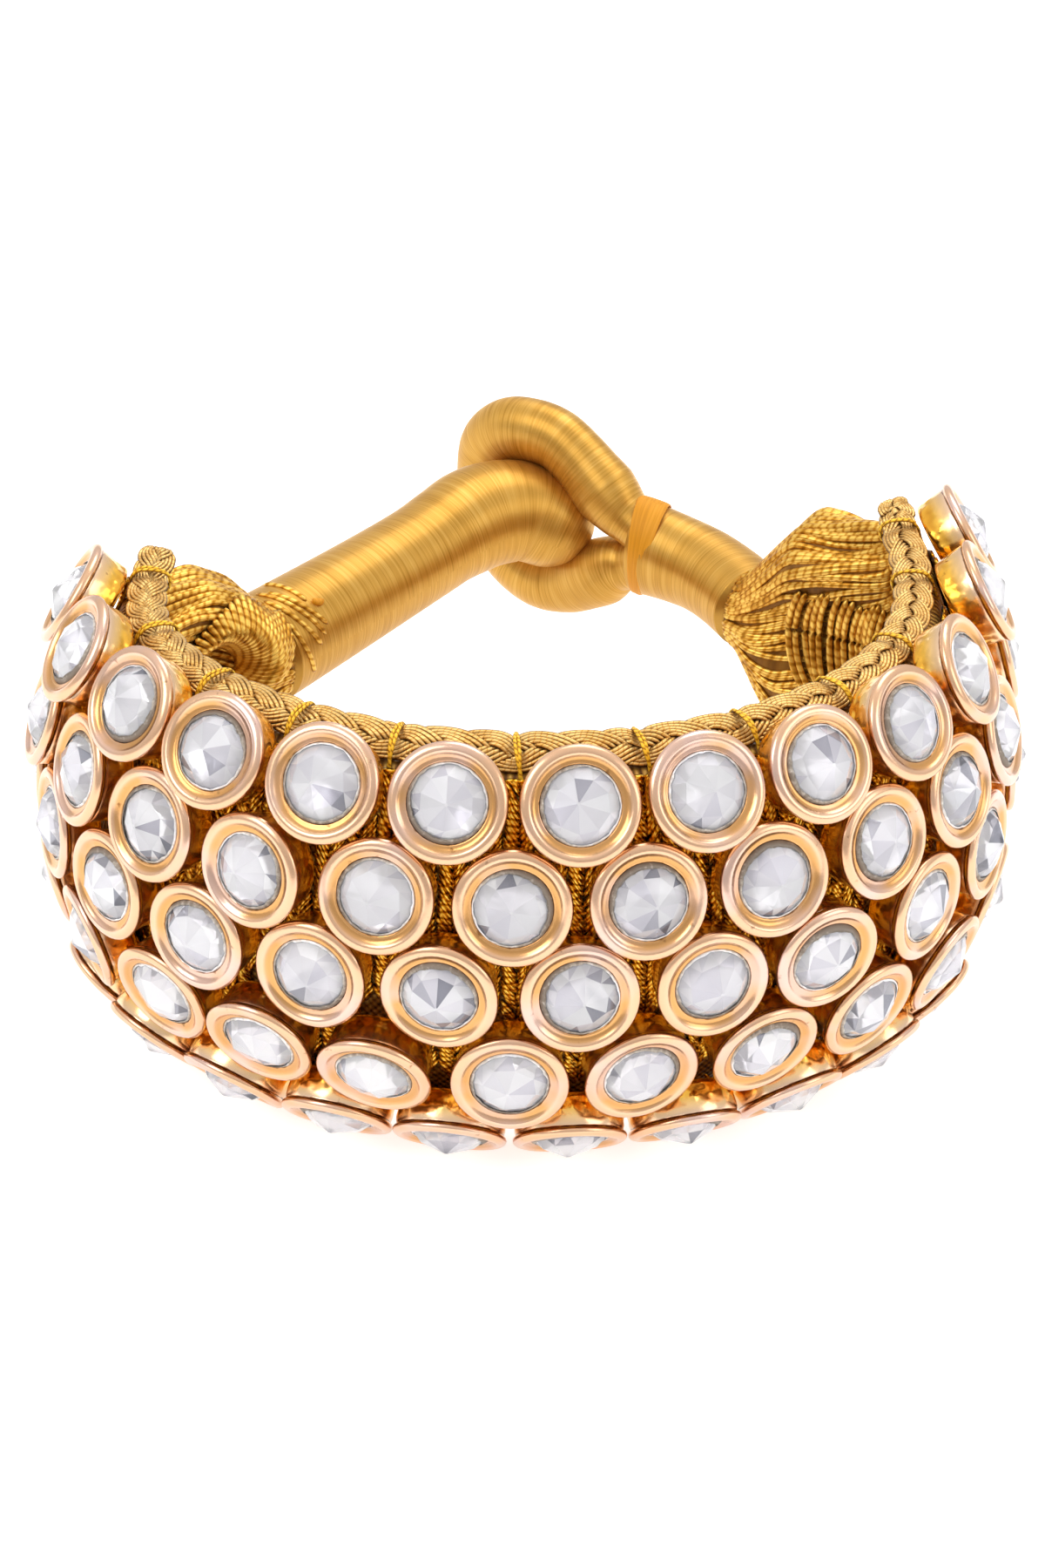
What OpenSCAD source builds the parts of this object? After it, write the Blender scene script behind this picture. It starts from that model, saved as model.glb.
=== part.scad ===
// Fastened cuff of gilt cups and foil-backed stones, sewn in five rows on a zari band
// The wrist goes through along Z. The cuff stands on its lowest row of cup rims at Z 0.
// +X is to the right of the front and +Y runs back to the loop that fastens it.

/* [Band] */
// Width of the oval on which the cups are seated at mid height
seat_w = 68.8; // [66:0.2:72]
// Depth of that oval, front to back
seat_d = 60.8; // [58:0.2:64]
// Radius of the bulge of the band, seen in a cut across its height
bulge_r = 38; // [32:1:50]
// Height of the woven band, without its edge cords
band_h = 26; // [25:0.5:27]
// Thickness of the woven band
band_t = 2; // [1.6:0.1:2.4]
// Diameter of the plaited edge cords
edge_cord_d = 3; // [2.6:0.1:3.2]

/* [Settings] */
// Diameter of the rolled rim of a cup
rim_d = 8.3; // [8:0.05:8.35]
// Diameter of the flat back of a cup
back_d = 7.2; // [6.8:0.05:7.3]
// Height of a cup from its back to the top of its rim
cup_h = 3.2; // [3:0.05:3.4]
// Spacing of the cups of one row, centre to centre at their rims
pitch = 9.5; // [9.4:0.05:9.7]
// Spacing of the rows, along the bulge
row_step = 6.5; // [6.4:0.05:6.7]
// Diameter of a stone at its girdle
stone_d = 5.6; // [5.4:0.05:5.8]
// Height of the stone's table over the rim
stone_rise = 1.3; // [1:0.05:1.5]
// Number of triangular crown facets that meet at the table
crown_facets = 9; // [8:1:10]

/* [Closure] */
// Diameter of the wound barrel where it leaves the band
barrel_d = 9.1; // [8.8:0.1:9.3]
// Diameter of the barrel at its rounded end
barrel_end_d = 8.2; // [7.9:0.1:8.3]
// Diameter of the wound rope on the other side
rope_d = 7.2; // [6.8:0.1:7.4]
// Diameter of the strand of the loop
loop_d = 4.8; // [4.6:0.1:4.9]
// Width of the yellow binding that holds the loop shut
binding_w = 1.8; // [1.6:0.1:2.2]

/* [Hidden] */
$fn = 48;

// Place of the oval's centre over the origin
band_x = -0.534;
band_y = -5.924;
band_z = 17.924;
gap = 0.1;

// Rows of cups from the top down: how far each leans up, where its first cup sits
// counted in pitches from the front, and how many cups it has
ROW_LEAN = [31, 17, 5, -13, -35];
ROW_START = [-5.55, -5.05, -5.55, -5.05, -5.55];
ROW_COUNT = [13, 12, 13, 12, 13];
// The last two columns at the right are spread by this much
end_spread = 3.5;
end_after = 5.3 * pitch;
// Ends of the woven band, past the outermost cup centres at the left and the right
start_margin = 4.4;
end_margin = 5.6;

// Cups that stand off the regular pattern, charted by hand:
// row, number from the left, turn to the right, lean up, shift along and shift up
CHART_ROW = 0;
CHART_NO = 1;
CHART_TURN = 2;
CHART_LEAN = 3;
CHART_ALONG = 4;
CHART_UP = 5;
CHART = [
    [1, 0, 0, 2, -0.5, 0],
    [1, 1, -4, 4, 0, 0],
    [1, 2, 0, 1, 0.3, 0.2],
    [1, 9, 1, 0, 0, 0],
    [1, 10, 7, 0, 0.1, 0.1],
    [1, 11, 3, 0, 0.6, 0.1],
    [1, 12, -1, 0, 1.3, 0],
    [2, 0, 0, 4, 0.3, -0.25],
    [2, 1, -6, 0, 0.4, 0.1],
    [2, 3, -7, -5, 0.3, 0.1],
    [3, 5, -4, -3, 0, 0.1],
    [3, 6, 0, 5, 0, -0.1],
    [3, 8, -3, -7, -0.5, 0.3],
    [3, 9, 4, -3, -0.2, 0],
    [4, 1, -6, 0, 0, -0.2],
    [4, 2, 5, 0, 0, 0],
    [4, 3, 3, -6, 0, 0.2],
    [4, 4, 0, -8, -0.3, 0],
    [4, 5, 0, 9, 0, -0.4],
    [4, 6, 5, 3, -0.3, -0.2],
    [4, 9, 0, -4, 0, -0.4],
    [5, 4, 4, 0, 0, 0],
    [5, 7, -3, -2, 0, 0],
];
// Slight unevenness of all the other cups
wobble = 1.2;

// The closure pulls both ends a little to the right: angle from the front and shift
PULL = [[-100, 1.9], [-92, 1.4], [-84, 0.85], [-76, 0.35], [-68, 0.1], [-60, 0],
    [88, 0], [96, 0.3], [104, 0.8], [112, 2]];
// Plan of the seats, an oval measured by the angle from the front, and its way outwards
function plan(a) = [seat_w / 2 * sin(a) + lookup(a, PULL), -seat_d / 2 * cos(a)];
function plan_out(a) =
    let (v = plan(a + 4) - plan(a - 4)) [v[1], -v[0]] / norm(v);
function plan_rim(a) = plan(a) + cup_h * plan_out(a);

// Angle at a length along the rims, counted from the front
PLAN_STEP = 2;
PLAN_ANGLES = [for (a = [-170 : PLAN_STEP : 170]) a];
PLAN_CHORDS = [for (a = PLAN_ANGLES) norm(plan_rim(a) - plan_rim(a - PLAN_STEP))];
PLAN_RUN = [for (i = 0, s = 0; i < len(PLAN_ANGLES);
    s = s + (i + 1 < len(PLAN_ANGLES) ? PLAN_CHORDS[i + 1] : 0), i = i + 1) [s, PLAN_ANGLES[i]]];
PLAN_HALF = PLAN_RUN[len(PLAN_RUN) - 1][0] / 2;
function angle_at(s) = lookup(s + PLAN_HALF, PLAN_RUN);

// The bulge in a cut: how far a height draws the seat in, and its height for a row
function bulge_in(z) = bulge_r - sqrt(bulge_r * bulge_r - z * z);
function row_z(row) = bulge_r * sin((2 - row) * row_step / bulge_r * 180 / PI);

// Along the rims, the place of a cup's centre
function spread(s) = s > end_after ? s + end_spread : s;
function along(row, i) = spread((ROW_START[row] + i) * pitch);

function chart(row, i) = [for (c = CHART) if (c[CHART_ROW] == row + 1 && c[CHART_NO] == i) c];
function wobbled(row, i) = [0, 0, wobble * sin(137 * i + 61 * row), wobble * cos(101 * i + 83 * row), 0, 0];
function offsets(row, i) = let (c = chart(row, i)) len(c) > 0 ? c[0] : wobbled(row, i);

band_start = along(0, 0) - start_margin;
band_end = along(0, 12) + end_margin;

// Puts a piece made in the oval's frame on the surface
module stand() {
    translate([band_x, band_y, band_z])
        children();
}

// Puts a setting, made upright with its back at Z 0, on its seat
module seated(row, i) {
    o = offsets(row, i);
    a = angle_at(along(row, i) + o[CHART_ALONG]);
    z = row_z(row) + o[CHART_UP];
    out = plan_out(a);
    lean = ROW_LEAN[row] + o[CHART_LEAN];
    lift = back_d / 2 * sin(abs(o[CHART_LEAN]));
    seat = plan(a) - bulge_in(z) * out;
    translate([seat[0], seat[1], z])
        rotate([0, 0, atan2(out[1], out[0]) + o[CHART_TURN]])
            rotate([0, 90 - lean, 0])
                translate([0, 0, lift])
                    children();
}

// Cup: flat back, wall that opens a little, rolled rim and a dished step down to the stone
rim_roll = 0.36;
neck_z = cup_h - 2 * rim_roll;
neck_d = rim_d - 0.42;
lip_d = 7.3;
pocket_d = stone_d + 2 * gap + 0.05;
pocket_z = 2.2;
dish_z = 2.98;
module cup() {
    rotate_extrude()
        polygon([
            [0, 0],
            [back_d / 2 - 0.3, 0],
            [back_d / 2, 0.3],
            [neck_d / 2, neck_z - 0.1],
            [neck_d / 2 - 0.08, neck_z],
            [rim_d / 2 - 0.12, neck_z + 0.06],
            [rim_d / 2, neck_z + rim_roll],
            [rim_d / 2 - 0.1, cup_h - 0.1],
            [rim_d / 2 - 0.3, cup_h],
            [lip_d / 2 + 0.1, cup_h],
            [lip_d / 2 - 0.1, cup_h - 0.08],
            [pocket_d / 2 + 0.35, dish_z + 0.02],
            [pocket_d / 2 + 0.1, dish_z - 0.06],
            [pocket_d / 2, dish_z - 0.12],
            [pocket_d / 2, pocket_z],
            [0, pocket_z],
        ]);
}

// Stone: flat back, girdle of twice the facets, broad crown facets and a small table
girdle_z = dish_z - 0.12;
shoulder_z = girdle_z + 0.85;
shoulder_d = 4;
table_z = cup_h + stone_rise;
table_d = 0.8;
function ring(n, d, z, shift = 0) =
    [for (i = [0 : n - 1]) [d / 2 * cos(360 / n * (i + shift)), d / 2 * sin(360 / n * (i + shift)), z]];
module stone() {
    n = crown_facets;
    m = 2 * n;
    points = concat(
        ring(m, stone_d, pocket_z + gap),
        ring(m, stone_d, girdle_z),
        ring(n, shoulder_d, shoulder_z, 0.25),
        ring(n, table_d, table_z, 0.25));
    girdle = m;
    shoulder = 2 * m;
    table = 2 * m + n;
    faces = concat(
        [[for (i = [0 : m - 1]) i]],
        [for (i = [0 : m - 1]) [i, girdle + i, girdle + (i + 1) % m, (i + 1) % m]],
        [for (i = [0 : n - 1]) [girdle + 2 * i, shoulder + i, girdle + 2 * i + 1]],
        [for (i = [0 : n - 1]) [girdle + 2 * i + 1, shoulder + i, shoulder + (i + 1) % n]],
        [for (i = [0 : n - 1]) [girdle + 2 * i + 1, shoulder + (i + 1) % n, girdle + (2 * i + 2) % m]],
        [for (i = [0 : n - 1]) [shoulder + i, table + i, table + (i + 1) % n, shoulder + (i + 1) % n]],
        [[for (i = [n - 1 : -1 : 0]) table + i]]);
    polyhedron(points, faces);
}

module cups_row(row) {
    stand()
        for (i = [0 : ROW_COUNT[row] - 1])
            seated(row, i)
                color("goldenrod")
                    cup();
}

module stones_row(row) {
    stand()
        for (i = [0 : ROW_COUNT[row] - 1])
            seated(row, i)
                color("gainsboro")
                    rotate([0, 0, 67 * i + 23 * row])
                        stone();
}

// Skin of a loft: equal rings of points, each counter-clockwise about the way they follow
// one another, joined in order and closed at both ends
module loft(rings) {
    n = len(rings[0]);
    last = len(rings) - 1;
    points = [for (r = rings) for (p = r) p];
    faces = concat(
        [[for (i = [0 : n - 1]) i]],
        [for (k = [0 : last - 1]) for (i = [0 : n - 1])
            [k * n + i, (k + 1) * n + i, (k + 1) * n + (i + 1) % n, k * n + (i + 1) % n]],
        [[for (i = [n - 1 : -1 : 0]) last * n + i]]);
    polyhedron(points, faces, convexity = 6);
}

function evenly(from, to, steps) = [for (i = [0 : steps]) from + (to - from) * i / steps];

// Depth of the band's outer skin under the backs of the middle row
skin_in = 0.95;
// Cut of the band: outside it follows the backs of the five rows, inside it is one even bow
BAND_OUTSIDE = [
    [-4.0, band_h / 2], [-2.75, band_h / 2 - 0.5], [-2, 9.8], [-1.65, 9.2],
    [-0.85, 3.6], [-0.45, 2.4], [-0.4, -3.2], [-0.85, -4],
    [-1.8, -9], [-2.5, -10.4], [-3.9, -band_h / 2 + 0.5], [-4.6, -band_h / 2]];
BAND_INSIDE = [for (z = [-band_h / 2 + 0.6, -8.5, -4, 0, 4, 8.5, band_h / 2 - 0.6])
    [-bulge_in(z) - skin_in - band_t, z]];
function band_ring(a) =
    let (p = plan(a), out = plan_out(a))
        [for (c = concat(BAND_OUTSIDE, BAND_INSIDE)) [p[0] + out[0] * c[0], p[1] + out[1] * c[0], c[1]]];
BAND_STEPS = 46;
module backing_band() {
    color("darkgoldenrod")
        stand()
            loft([for (s = evenly(band_start, band_end, BAND_STEPS)) band_ring(angle_at(s))]);
}

// Smooth curve through points chosen by hand
SMOOTH_STEPS = 6;
function bend(p, q, r, s, t) =
    (2 * q + (r - p) * t + (2 * p - 5 * q + 4 * r - s) * t * t + (3 * q - p - 3 * r + s) * t * t * t) / 2;
function smooth(pts) =
    let (last = len(pts) - 1, all = concat([2 * pts[0] - pts[1]], pts, [2 * pts[last] - pts[last - 1]]))
        concat([for (i = [1 : last]) for (t = [0 : SMOOTH_STEPS - 1])
            bend(all[i - 1], all[i], all[i + 1], all[i + 2], t / SMOOTH_STEPS)], [pts[last]]);

// Place and heading at a length along a path
function run(path) = [for (i = 0, s = 0; i < len(path);
    s = s + (i + 1 < len(path) ? norm(path[i + 1] - path[i]) : 0), i = i + 1) s];
function place(path, lengths, s) =
    [for (c = [0 : 2]) lookup(s, [for (i = [0 : len(path) - 1]) [lengths[i], path[i][c]]])];
function heading(path, lengths, s) =
    let (v = place(path, lengths, s + 0.2) - place(path, lengths, s - 0.2)) v / norm(v);

// Ring about a path, where sideways is a direction that the path never takes. It is round,
// or an oval where r holds its half sizes across and along that direction
function round_ring(centre, along, sideways, r, sides) =
    let (u = cross(along, sideways), a = u / norm(u), b = cross(along, a), q = is_list(r) ? r : [r, r])
        [for (i = [0 : sides - 1])
            centre + q[0] * cos(360 / sides * i) * a + q[1] * sin(360 / sides * i) * b];
module tube(path, stations, radii, sideways, sides) {
    lengths = run(path);
    loft([for (i = [0 : len(stations) - 1])
        round_ring(place(path, lengths, stations[i]), heading(path, lengths, stations[i]),
            sideways, radii[i], sides)]);
}

// Stations and radii of a rounded end of radius r that closes at length s
CAP_STEPS = [0.3, 0.55, 0.75, 0.9, 0.97, 1];
function cap_stations(s, r) = [for (c = CAP_STEPS) s - r + r * c];
function cap_radii(r) = [for (c = CAP_STEPS) max(r * sqrt(1 - c * c), 0.15)];

// Edge cords, along the two edges of the band on its inner side
edge_in = 5.55;
edge_z = 14.8;
EDGE_RINGS = 24;
EDGE_SIDES = 10;
function edge_point(s, z) = let (a = angle_at(s), p = plan(a) - edge_in * plan_out(a)) [p[0], p[1], z];
module edge_cord(z) {
    path = [for (s = evenly(band_start, band_end, 2 * EDGE_RINGS)) edge_point(s, z)];
    lengths = run(path);
    whole = lengths[len(lengths) - 1];
    r = edge_cord_d / 2;
    tip = [[0.02, 0.5], [0.1 * r, 0.7], [0.4 * r, 0.92]];
    stations = concat([for (t = tip) t[0]], evenly(r, whole - r, EDGE_RINGS),
        [for (i = [2 : -1 : 0]) whole - tip[i][0]]);
    radii = concat([for (t = tip) r * t[1]], [for (i = [0 : EDGE_RINGS]) r],
        [for (i = [2 : -1 : 0]) r * tip[i][1]]);
    color("goldenrod")
        stand()
            tube(path, stations, radii, [0, 0, 1], EDGE_SIDES);
}

// Axes of the closure, by points on the middle of its height
BARREL_POINTS = [
    [-21.4, 14.3, 0], [-14.2, 23.8, 0.1], [-9.2, 30.1, 0.45], [-6.6, 33.2, 0.9],
    [-3.8, 35.8, 1.3], [-0.6, 37.2, 1.1], [2.2, 37.4, 0], [5.6, 36.9, -1.5]];
ROPE_POINTS = [[18.9, 22.6, 0], [17.2, 26, 0], [15.2, 28.9, 0], [12.9, 31, 0], [10.15, 33.05, 0]];
BARREL_PATH = smooth(BARREL_POINTS);
ROPE_PATH = smooth(ROPE_POINTS);

// Girth of the barrel by length: a waist, and a swelling where it bends into the loop
BARREL_GIRTH = [[0, barrel_d], [20, barrel_d - 0.8], [26.5, barrel_d - 0.1],
    [30.5, barrel_d - 0.2], [34.5, barrel_end_d]];
BARREL_RINGS = 14;
module toggle_barrel() {
    lengths = run(BARREL_PATH);
    whole = lengths[len(lengths) - 1];
    r1 = barrel_end_d / 2;
    body = evenly(0, whole - r1, BARREL_RINGS);
    color("darkgoldenrod")
        stand()
            tube(BARREL_PATH, concat(body, cap_stations(whole, r1)),
                concat([for (s = body) lookup(s, BARREL_GIRTH) / 2], cap_radii(r1)), [0, 0, 1], 20);
}

// Binding, an oval band of thread round the end of the rope: half width and half height outside
binding_wide = 3.3;
binding_tall = 4.5;
binding_wall = 0.45;
binding_lift = 0.1;

// Rope, from the gather to its end, which is narrower inside the binding.
// Half width and half height: round at the gather, an upright oval at the binding
function rope_cut(t) = [rope_d / 2 - 0.5 * t * t, rope_d / 2 + 0.7 * t * t];
ROPE_CORE = [binding_wide - binding_wall - 2 * gap, binding_tall - binding_wall - 2.5 * gap];
ROPE_RINGS = 6;
module loop_rope() {
    lengths = run(ROPE_PATH);
    whole = lengths[len(lengths) - 1];
    free = whole - binding_w - 1.5 * gap;
    body = evenly(0, free, ROPE_RINGS);
    color("darkgoldenrod")
        stand()
            tube(ROPE_PATH, concat(body, [free + 0.02, whole]),
                concat([for (s = body) rope_cut(max(0, (s - 4) / (free - 4)))], [ROPE_CORE, ROPE_CORE]),
                [0, 0, 1], 24);
}

// Loop, an upright oval whose two strands close up one over the other at the binding,
// by points of how far from the end of the rope, how far behind and how high
loop_turn = 144;
LOOP_DIR = [cos(loop_turn), sin(loop_turn), 0];
LOOP_BACK = [sin(loop_turn), -cos(loop_turn), 0];
ROPE_END = ROPE_POINTS[len(ROPE_POINTS) - 1];
LOOP_FOOT = ROPE_END + 5 * gap * LOOP_DIR;
LOOP_POINTS = [
    [0, 0, 2.2], [0.4, 0, 2.27], [1.4, 0, 2.85], [2.4, 0, 3.75], [4.4, 0.1, 5.05], [6.6, 0.2, 6.45],
    [9, 0.2, 7.6], [11.6, 0.1, 7.75], [14.4, 0.3, 6.85], [16.7, 0.6, 4.5], [17.5, 1, 0.9],
    [16.9, 0.8, -2.6], [14.4, 0.4, -5.65], [10.8, 0.1, -7], [7.4, 0.1, -6.55], [4.6, 0, -5],
    [2.4, 0, -3.4], [1.4, 0, -2.6], [0.4, 0, -2.25], [0, 0, -2.2]];
LOOP_PATH = smooth([for (p = LOOP_POINTS) LOOP_FOOT + p[0] * LOOP_DIR + p[1] * LOOP_BACK + [0, 0, p[2]]]);
LOOP_RINGS = 36;
// Radius of a strand where it is tied, and the length over which it grows
tied_r = 2.1;
grow_run = 3.3;
// How much the strand swells at the top of the loop, and at which length
swell_r = 0.15;
swell_at = 16;
swell_run = 5;
function loop_r(s, whole) =
    let (grown = min(1, s / grow_run, (whole - s) / grow_run))
        tied_r + (loop_d / 2 - tied_r) * grown + swell_r * exp(-pow((s - swell_at) / swell_run, 2));
module closure_loop() {
    lengths = run(LOOP_PATH);
    whole = lengths[len(lengths) - 1];
    stations = concat([0], evenly(grow_run / 2, whole - grow_run / 2, LOOP_RINGS), [whole]);
    color("darkgoldenrod")
        stand()
            tube(LOOP_PATH, stations, [for (s = stations) loop_r(s, whole)], LOOP_BACK, 14);
}

module oval(wide, tall) {
    polygon([for (i = [0 : 35]) [tall * cos(10 * i), wide * sin(10 * i)]]);
}
module loop_binding() {
    color("gold")
        stand()
            translate(ROPE_END - binding_w * LOOP_DIR + [0, 0, binding_lift])
                rotate([0, 90, loop_turn])
                    linear_extrude(binding_w)
                        difference() {
                            oval(binding_wide, binding_tall);
                            oval(binding_wide - binding_wall, binding_tall - binding_wall);
                        }
}

// Gathers, where the band's cords draw together. Columns of the cuts along one:
// part of its length, half height, half thickness, bow of the band left in it and depth of the inner fold
CUT_AT = 0;
CUT_H = 1;
CUT_T = 2;
CUT_BOW = 3;
CUT_FOLD = 4;
GATHER_LEFT = [
    [0, 10.6, 1.4, 1, 0],
    [0.12, 9.5, 2.4, 0.9, 0.35],
    [0.3, 8.9, 3.6, 0.7, 0.55],
    [0.5, 9.1, 4.4, 0.4, 0.5],
    [0.7, 9, 4.9, 0.15, 0.25],
    [0.87, 7.3, 4.9, 0, 0.08],
    [1, barrel_d / 2, barrel_d / 2, 0, 0],
];
GATHER_RIGHT = [
    [0, 12.9, 1.4, 1, 0],
    [0.12, 12.2, 2.6, 0.9, 0.35],
    [0.3, 11.8, 4, 0.7, 0.5],
    [0.5, 11.2, 4.9, 0.4, 0.45],
    [0.7, 9.4, 5.2, 0.15, 0.25],
    [0.87, 5.6, 4.6, 0, 0.08],
    [1, rope_d / 2, rope_d / 2, 0, 0],
];
GATHER_SIDES = 28;
// Ring of a gather: centre, outward direction, a cut of the table and which way round it goes
function gather_ring(centre, out, cut, turn) =
    [for (i = [0 : GATHER_SIDES - 1])
        let (a = turn * 360 / GATHER_SIDES * i,
            z = cut[CUT_H] * sin(a),
            fold = cos(a) < 0 ? 1 - cut[CUT_FOLD] * exp(-pow(z / (0.4 * cut[CUT_H]), 2)) : 1,
            x = cut[CUT_T] * cos(a) * fold - cut[CUT_BOW] * bulge_in(z))
            centre + x * out + [0, 0, z]];
function across(v) = [v[1], -v[0], 0] / norm([v[1], -v[0]]);
// The last cut faces the piece that the gather runs into
module gather(path, cuts, side, into) {
    lengths = run(path);
    whole = lengths[len(lengths) - 1];
    color("goldenrod")
        stand()
            loft([for (cut = cuts)
                let (s = cut[CUT_AT] * whole, along = cut[CUT_AT] == 1 ? into : heading(path, lengths, s))
                    gather_ring(place(path, lengths, s), side * across(along), cut, -side)]);
}

// Point past an end of the band, on the middle of its thickness
band_mid = skin_in + band_t / 2;
function band_tip(s, past) =
    let (a = angle_at(s), q = plan_out(a), p = plan(a) - band_mid * q, side = s < 0 ? 1 : -1)
        [p[0] + side * past * q[1], p[1] - side * past * q[0], 0];
BARREL_START = heading(BARREL_PATH, run(BARREL_PATH), 0);
ROPE_START = heading(ROPE_PATH, run(ROPE_PATH), 0);
LEFT_PATH = smooth([band_tip(band_start, 2.5 * gap), band_tip(band_start, 3.5), [-27, 9.9, 0],
    BARREL_POINTS[0] - 1.5 * gap * BARREL_START]);
RIGHT_PATH = smooth([band_tip(band_end, 2.5 * gap), band_tip(band_end, 3), [24.4, 18.4, 0],
    ROPE_POINTS[0] - 1.5 * gap * ROPE_START]);

backing_band();
edge_cord(edge_z);  // edge_cord_top
edge_cord(-edge_z);  // edge_cord_bottom
cups_row(0);  // cups_row_1
cups_row(1);  // cups_row_2
cups_row(2);  // cups_row_3
cups_row(3);  // cups_row_4
cups_row(4);  // cups_row_5
stones_row(0);  // stones_row_1
stones_row(1);  // stones_row_2
stones_row(2);  // stones_row_3
stones_row(3);  // stones_row_4
stones_row(4);  // stones_row_5
gather(LEFT_PATH, GATHER_LEFT, -1, BARREL_START);  // gather_left
gather(RIGHT_PATH, GATHER_RIGHT, 1, ROPE_START);  // gather_right
toggle_barrel();
loop_rope();
loop_binding();
closure_loop();
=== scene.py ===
"""Fastened kundan cuff: gilt cups with foil-backed stones, sewn in rows on a zari band.

Lengths in the shape functions are millimetres in the oval's own frame, as in the part's source.
placed() turns them into metres in the part's frame.
"""
import math

import bpy
import numpy as np
from mathutils import Matrix


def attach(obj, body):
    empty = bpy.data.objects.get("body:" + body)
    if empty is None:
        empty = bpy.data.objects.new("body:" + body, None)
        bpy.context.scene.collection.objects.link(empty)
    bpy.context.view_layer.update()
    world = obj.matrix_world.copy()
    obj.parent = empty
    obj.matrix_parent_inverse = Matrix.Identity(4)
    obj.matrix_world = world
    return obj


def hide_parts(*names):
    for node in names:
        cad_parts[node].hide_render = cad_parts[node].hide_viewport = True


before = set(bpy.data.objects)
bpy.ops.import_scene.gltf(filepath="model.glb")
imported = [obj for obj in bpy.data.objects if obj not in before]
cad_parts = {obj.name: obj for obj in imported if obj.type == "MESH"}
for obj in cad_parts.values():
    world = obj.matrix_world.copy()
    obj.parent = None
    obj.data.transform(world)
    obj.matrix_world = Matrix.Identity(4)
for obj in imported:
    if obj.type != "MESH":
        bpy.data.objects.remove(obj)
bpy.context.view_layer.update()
scene = bpy.context.scene

# Real sizes in millimetres, and the oval's middle in the part's frame
PLACE = np.array([-0.534, -5.924, 17.924])
SEAT_W = 68.8
SEAT_D = 60.8
BULGE_R = 38
BAND_T = 2
SKIN_IN = 0.95
EDGE_IN = 5.55
EDGE_Z = 14.8
BACK_D = 7.2
CUP_H = 3.2
PITCH = 9.5
ROW_STEP = 6.5
BARREL_D = 9.1
ROPE_D = 7.2
LOOP_D = 4.8
# Rows from the top: lean upwards in degrees, how far a row is drawn in, its first place and its count
ROW_LEAN = [31, 17, 5, -13, -42]
ROW_DRAWN = [0, 0, 0, 0, 0.5]
ROW_START = [-5.55, -5.05, -5.55, -5.05, -5.55]
ROW_COUNT = [13, 12, 13, 12, 13]
END_SPREAD = 3.5
END_AFTER = 5.3 * PITCH
START_MARGIN = 4.4
END_MARGIN = 5.6
# Pull of the closure on the oval: angle and shift in x
PULL = np.array([[-100, 1.9], [-92, 1.4], [-84, 0.85], [-76, 0.35], [-68, 0.1], [-60, 0],
                 [88, 0], [96, 0.3], [104, 0.8], [112, 2]])
# Cups off the regular pattern: row, number, turn, lean, shift along and shift up
CHART = {
    (1, 0): (0, 2, -0.5, 0), (1, 1): (-4, 4, 0, 0), (1, 2): (0, 1, 0.3, 0.2), (1, 9): (1, 0, 0, 0),
    (1, 10): (7, 0, 0.1, 0.1), (1, 11): (3, 0, 0.6, 0.1), (1, 12): (-1, 0, 1.3, 0),
    (2, 0): (0, 4, 0.3, -0.25), (2, 1): (-6, 0, 0.4, 0.1), (2, 3): (-7, -5, 0.3, 0.1),
    (3, 5): (-4, -3, 0, 0.1), (3, 6): (0, 5, 0, -0.1), (3, 8): (-3, -7, -0.5, 0.3),
    (3, 9): (4, -3, -0.2, 0), (4, 1): (-6, 0, 0, -0.2), (4, 2): (5, 0, 0, 0), (4, 3): (3, -6, 0, 0.2),
    (4, 4): (0, -8, -0.3, 0), (4, 5): (0, 9, 0, -0.4), (4, 6): (5, 3, -0.3, -0.2),
    (4, 9): (0, -4, 0, -0.4), (5, 4): (4, 0, 0, 0), (5, 7): (-3, -2, 0, 0),
}
# Turn and lean in degrees of all other cups, at most
WOBBLE = 1.2
# Yellow stitches along the edge cords, counted along the rims from the middle of the front
STITCHES = np.array([-53.9, -42.1, -30.3, -20.1, -10.9, -0.5, 10.1, 20, 30.8, 41.9, 55.5, 64.5])
UP = np.array([0, 0, 1.0])


def spread(*parts):
    """Arrays brought to one shape and stacked as the last axis."""
    return np.stack(np.broadcast_arrays(*parts), -1)


def turn_by(sides):
    """Angles of equal steps round a circle."""
    return 2 * np.pi * np.arange(sides) / sides


def unit(v):
    """Vectors scaled to length one."""
    return v / np.linalg.norm(v, axis=-1, keepdims=True)


def placed(p):
    """Points of the oval's frame in millimetres, as metres in the part's frame."""
    return (p + PLACE) * 0.001


def plan(a):
    """Oval of the seats: half width by sine and half depth by cosine of a, in degrees from the front."""
    t = np.radians(a)
    pull = np.interp(a, PULL[:, 0], PULL[:, 1])
    return spread(SEAT_W / 2 * np.sin(t) + pull, -SEAT_D / 2 * np.cos(t))


def plan_out(a):
    """Way outwards: the chord over 8 degrees, turned a quarter turn."""
    v = plan(a + 4) - plan(a - 4)
    return unit(spread(v[..., 1], -v[..., 0]))


RUN_ANGLES = np.arange(-170, 171, 2.0)
RIM_LINE = plan(RUN_ANGLES) + CUP_H * plan_out(RUN_ANGLES)
RUN = np.concatenate([[0], np.cumsum(np.linalg.norm(np.diff(RIM_LINE, axis=0), axis=1))])


def angle_at(s):
    """Angle at a length along the rims, counted from the middle of the front."""
    return np.interp(s + RUN[-1] / 2, RUN, RUN_ANGLES)


def bulge_in(z):
    """How far the bow of radius BULGE_R has drawn in at height z."""
    return BULGE_R - np.sqrt(BULGE_R ** 2 - z ** 2)


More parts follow.
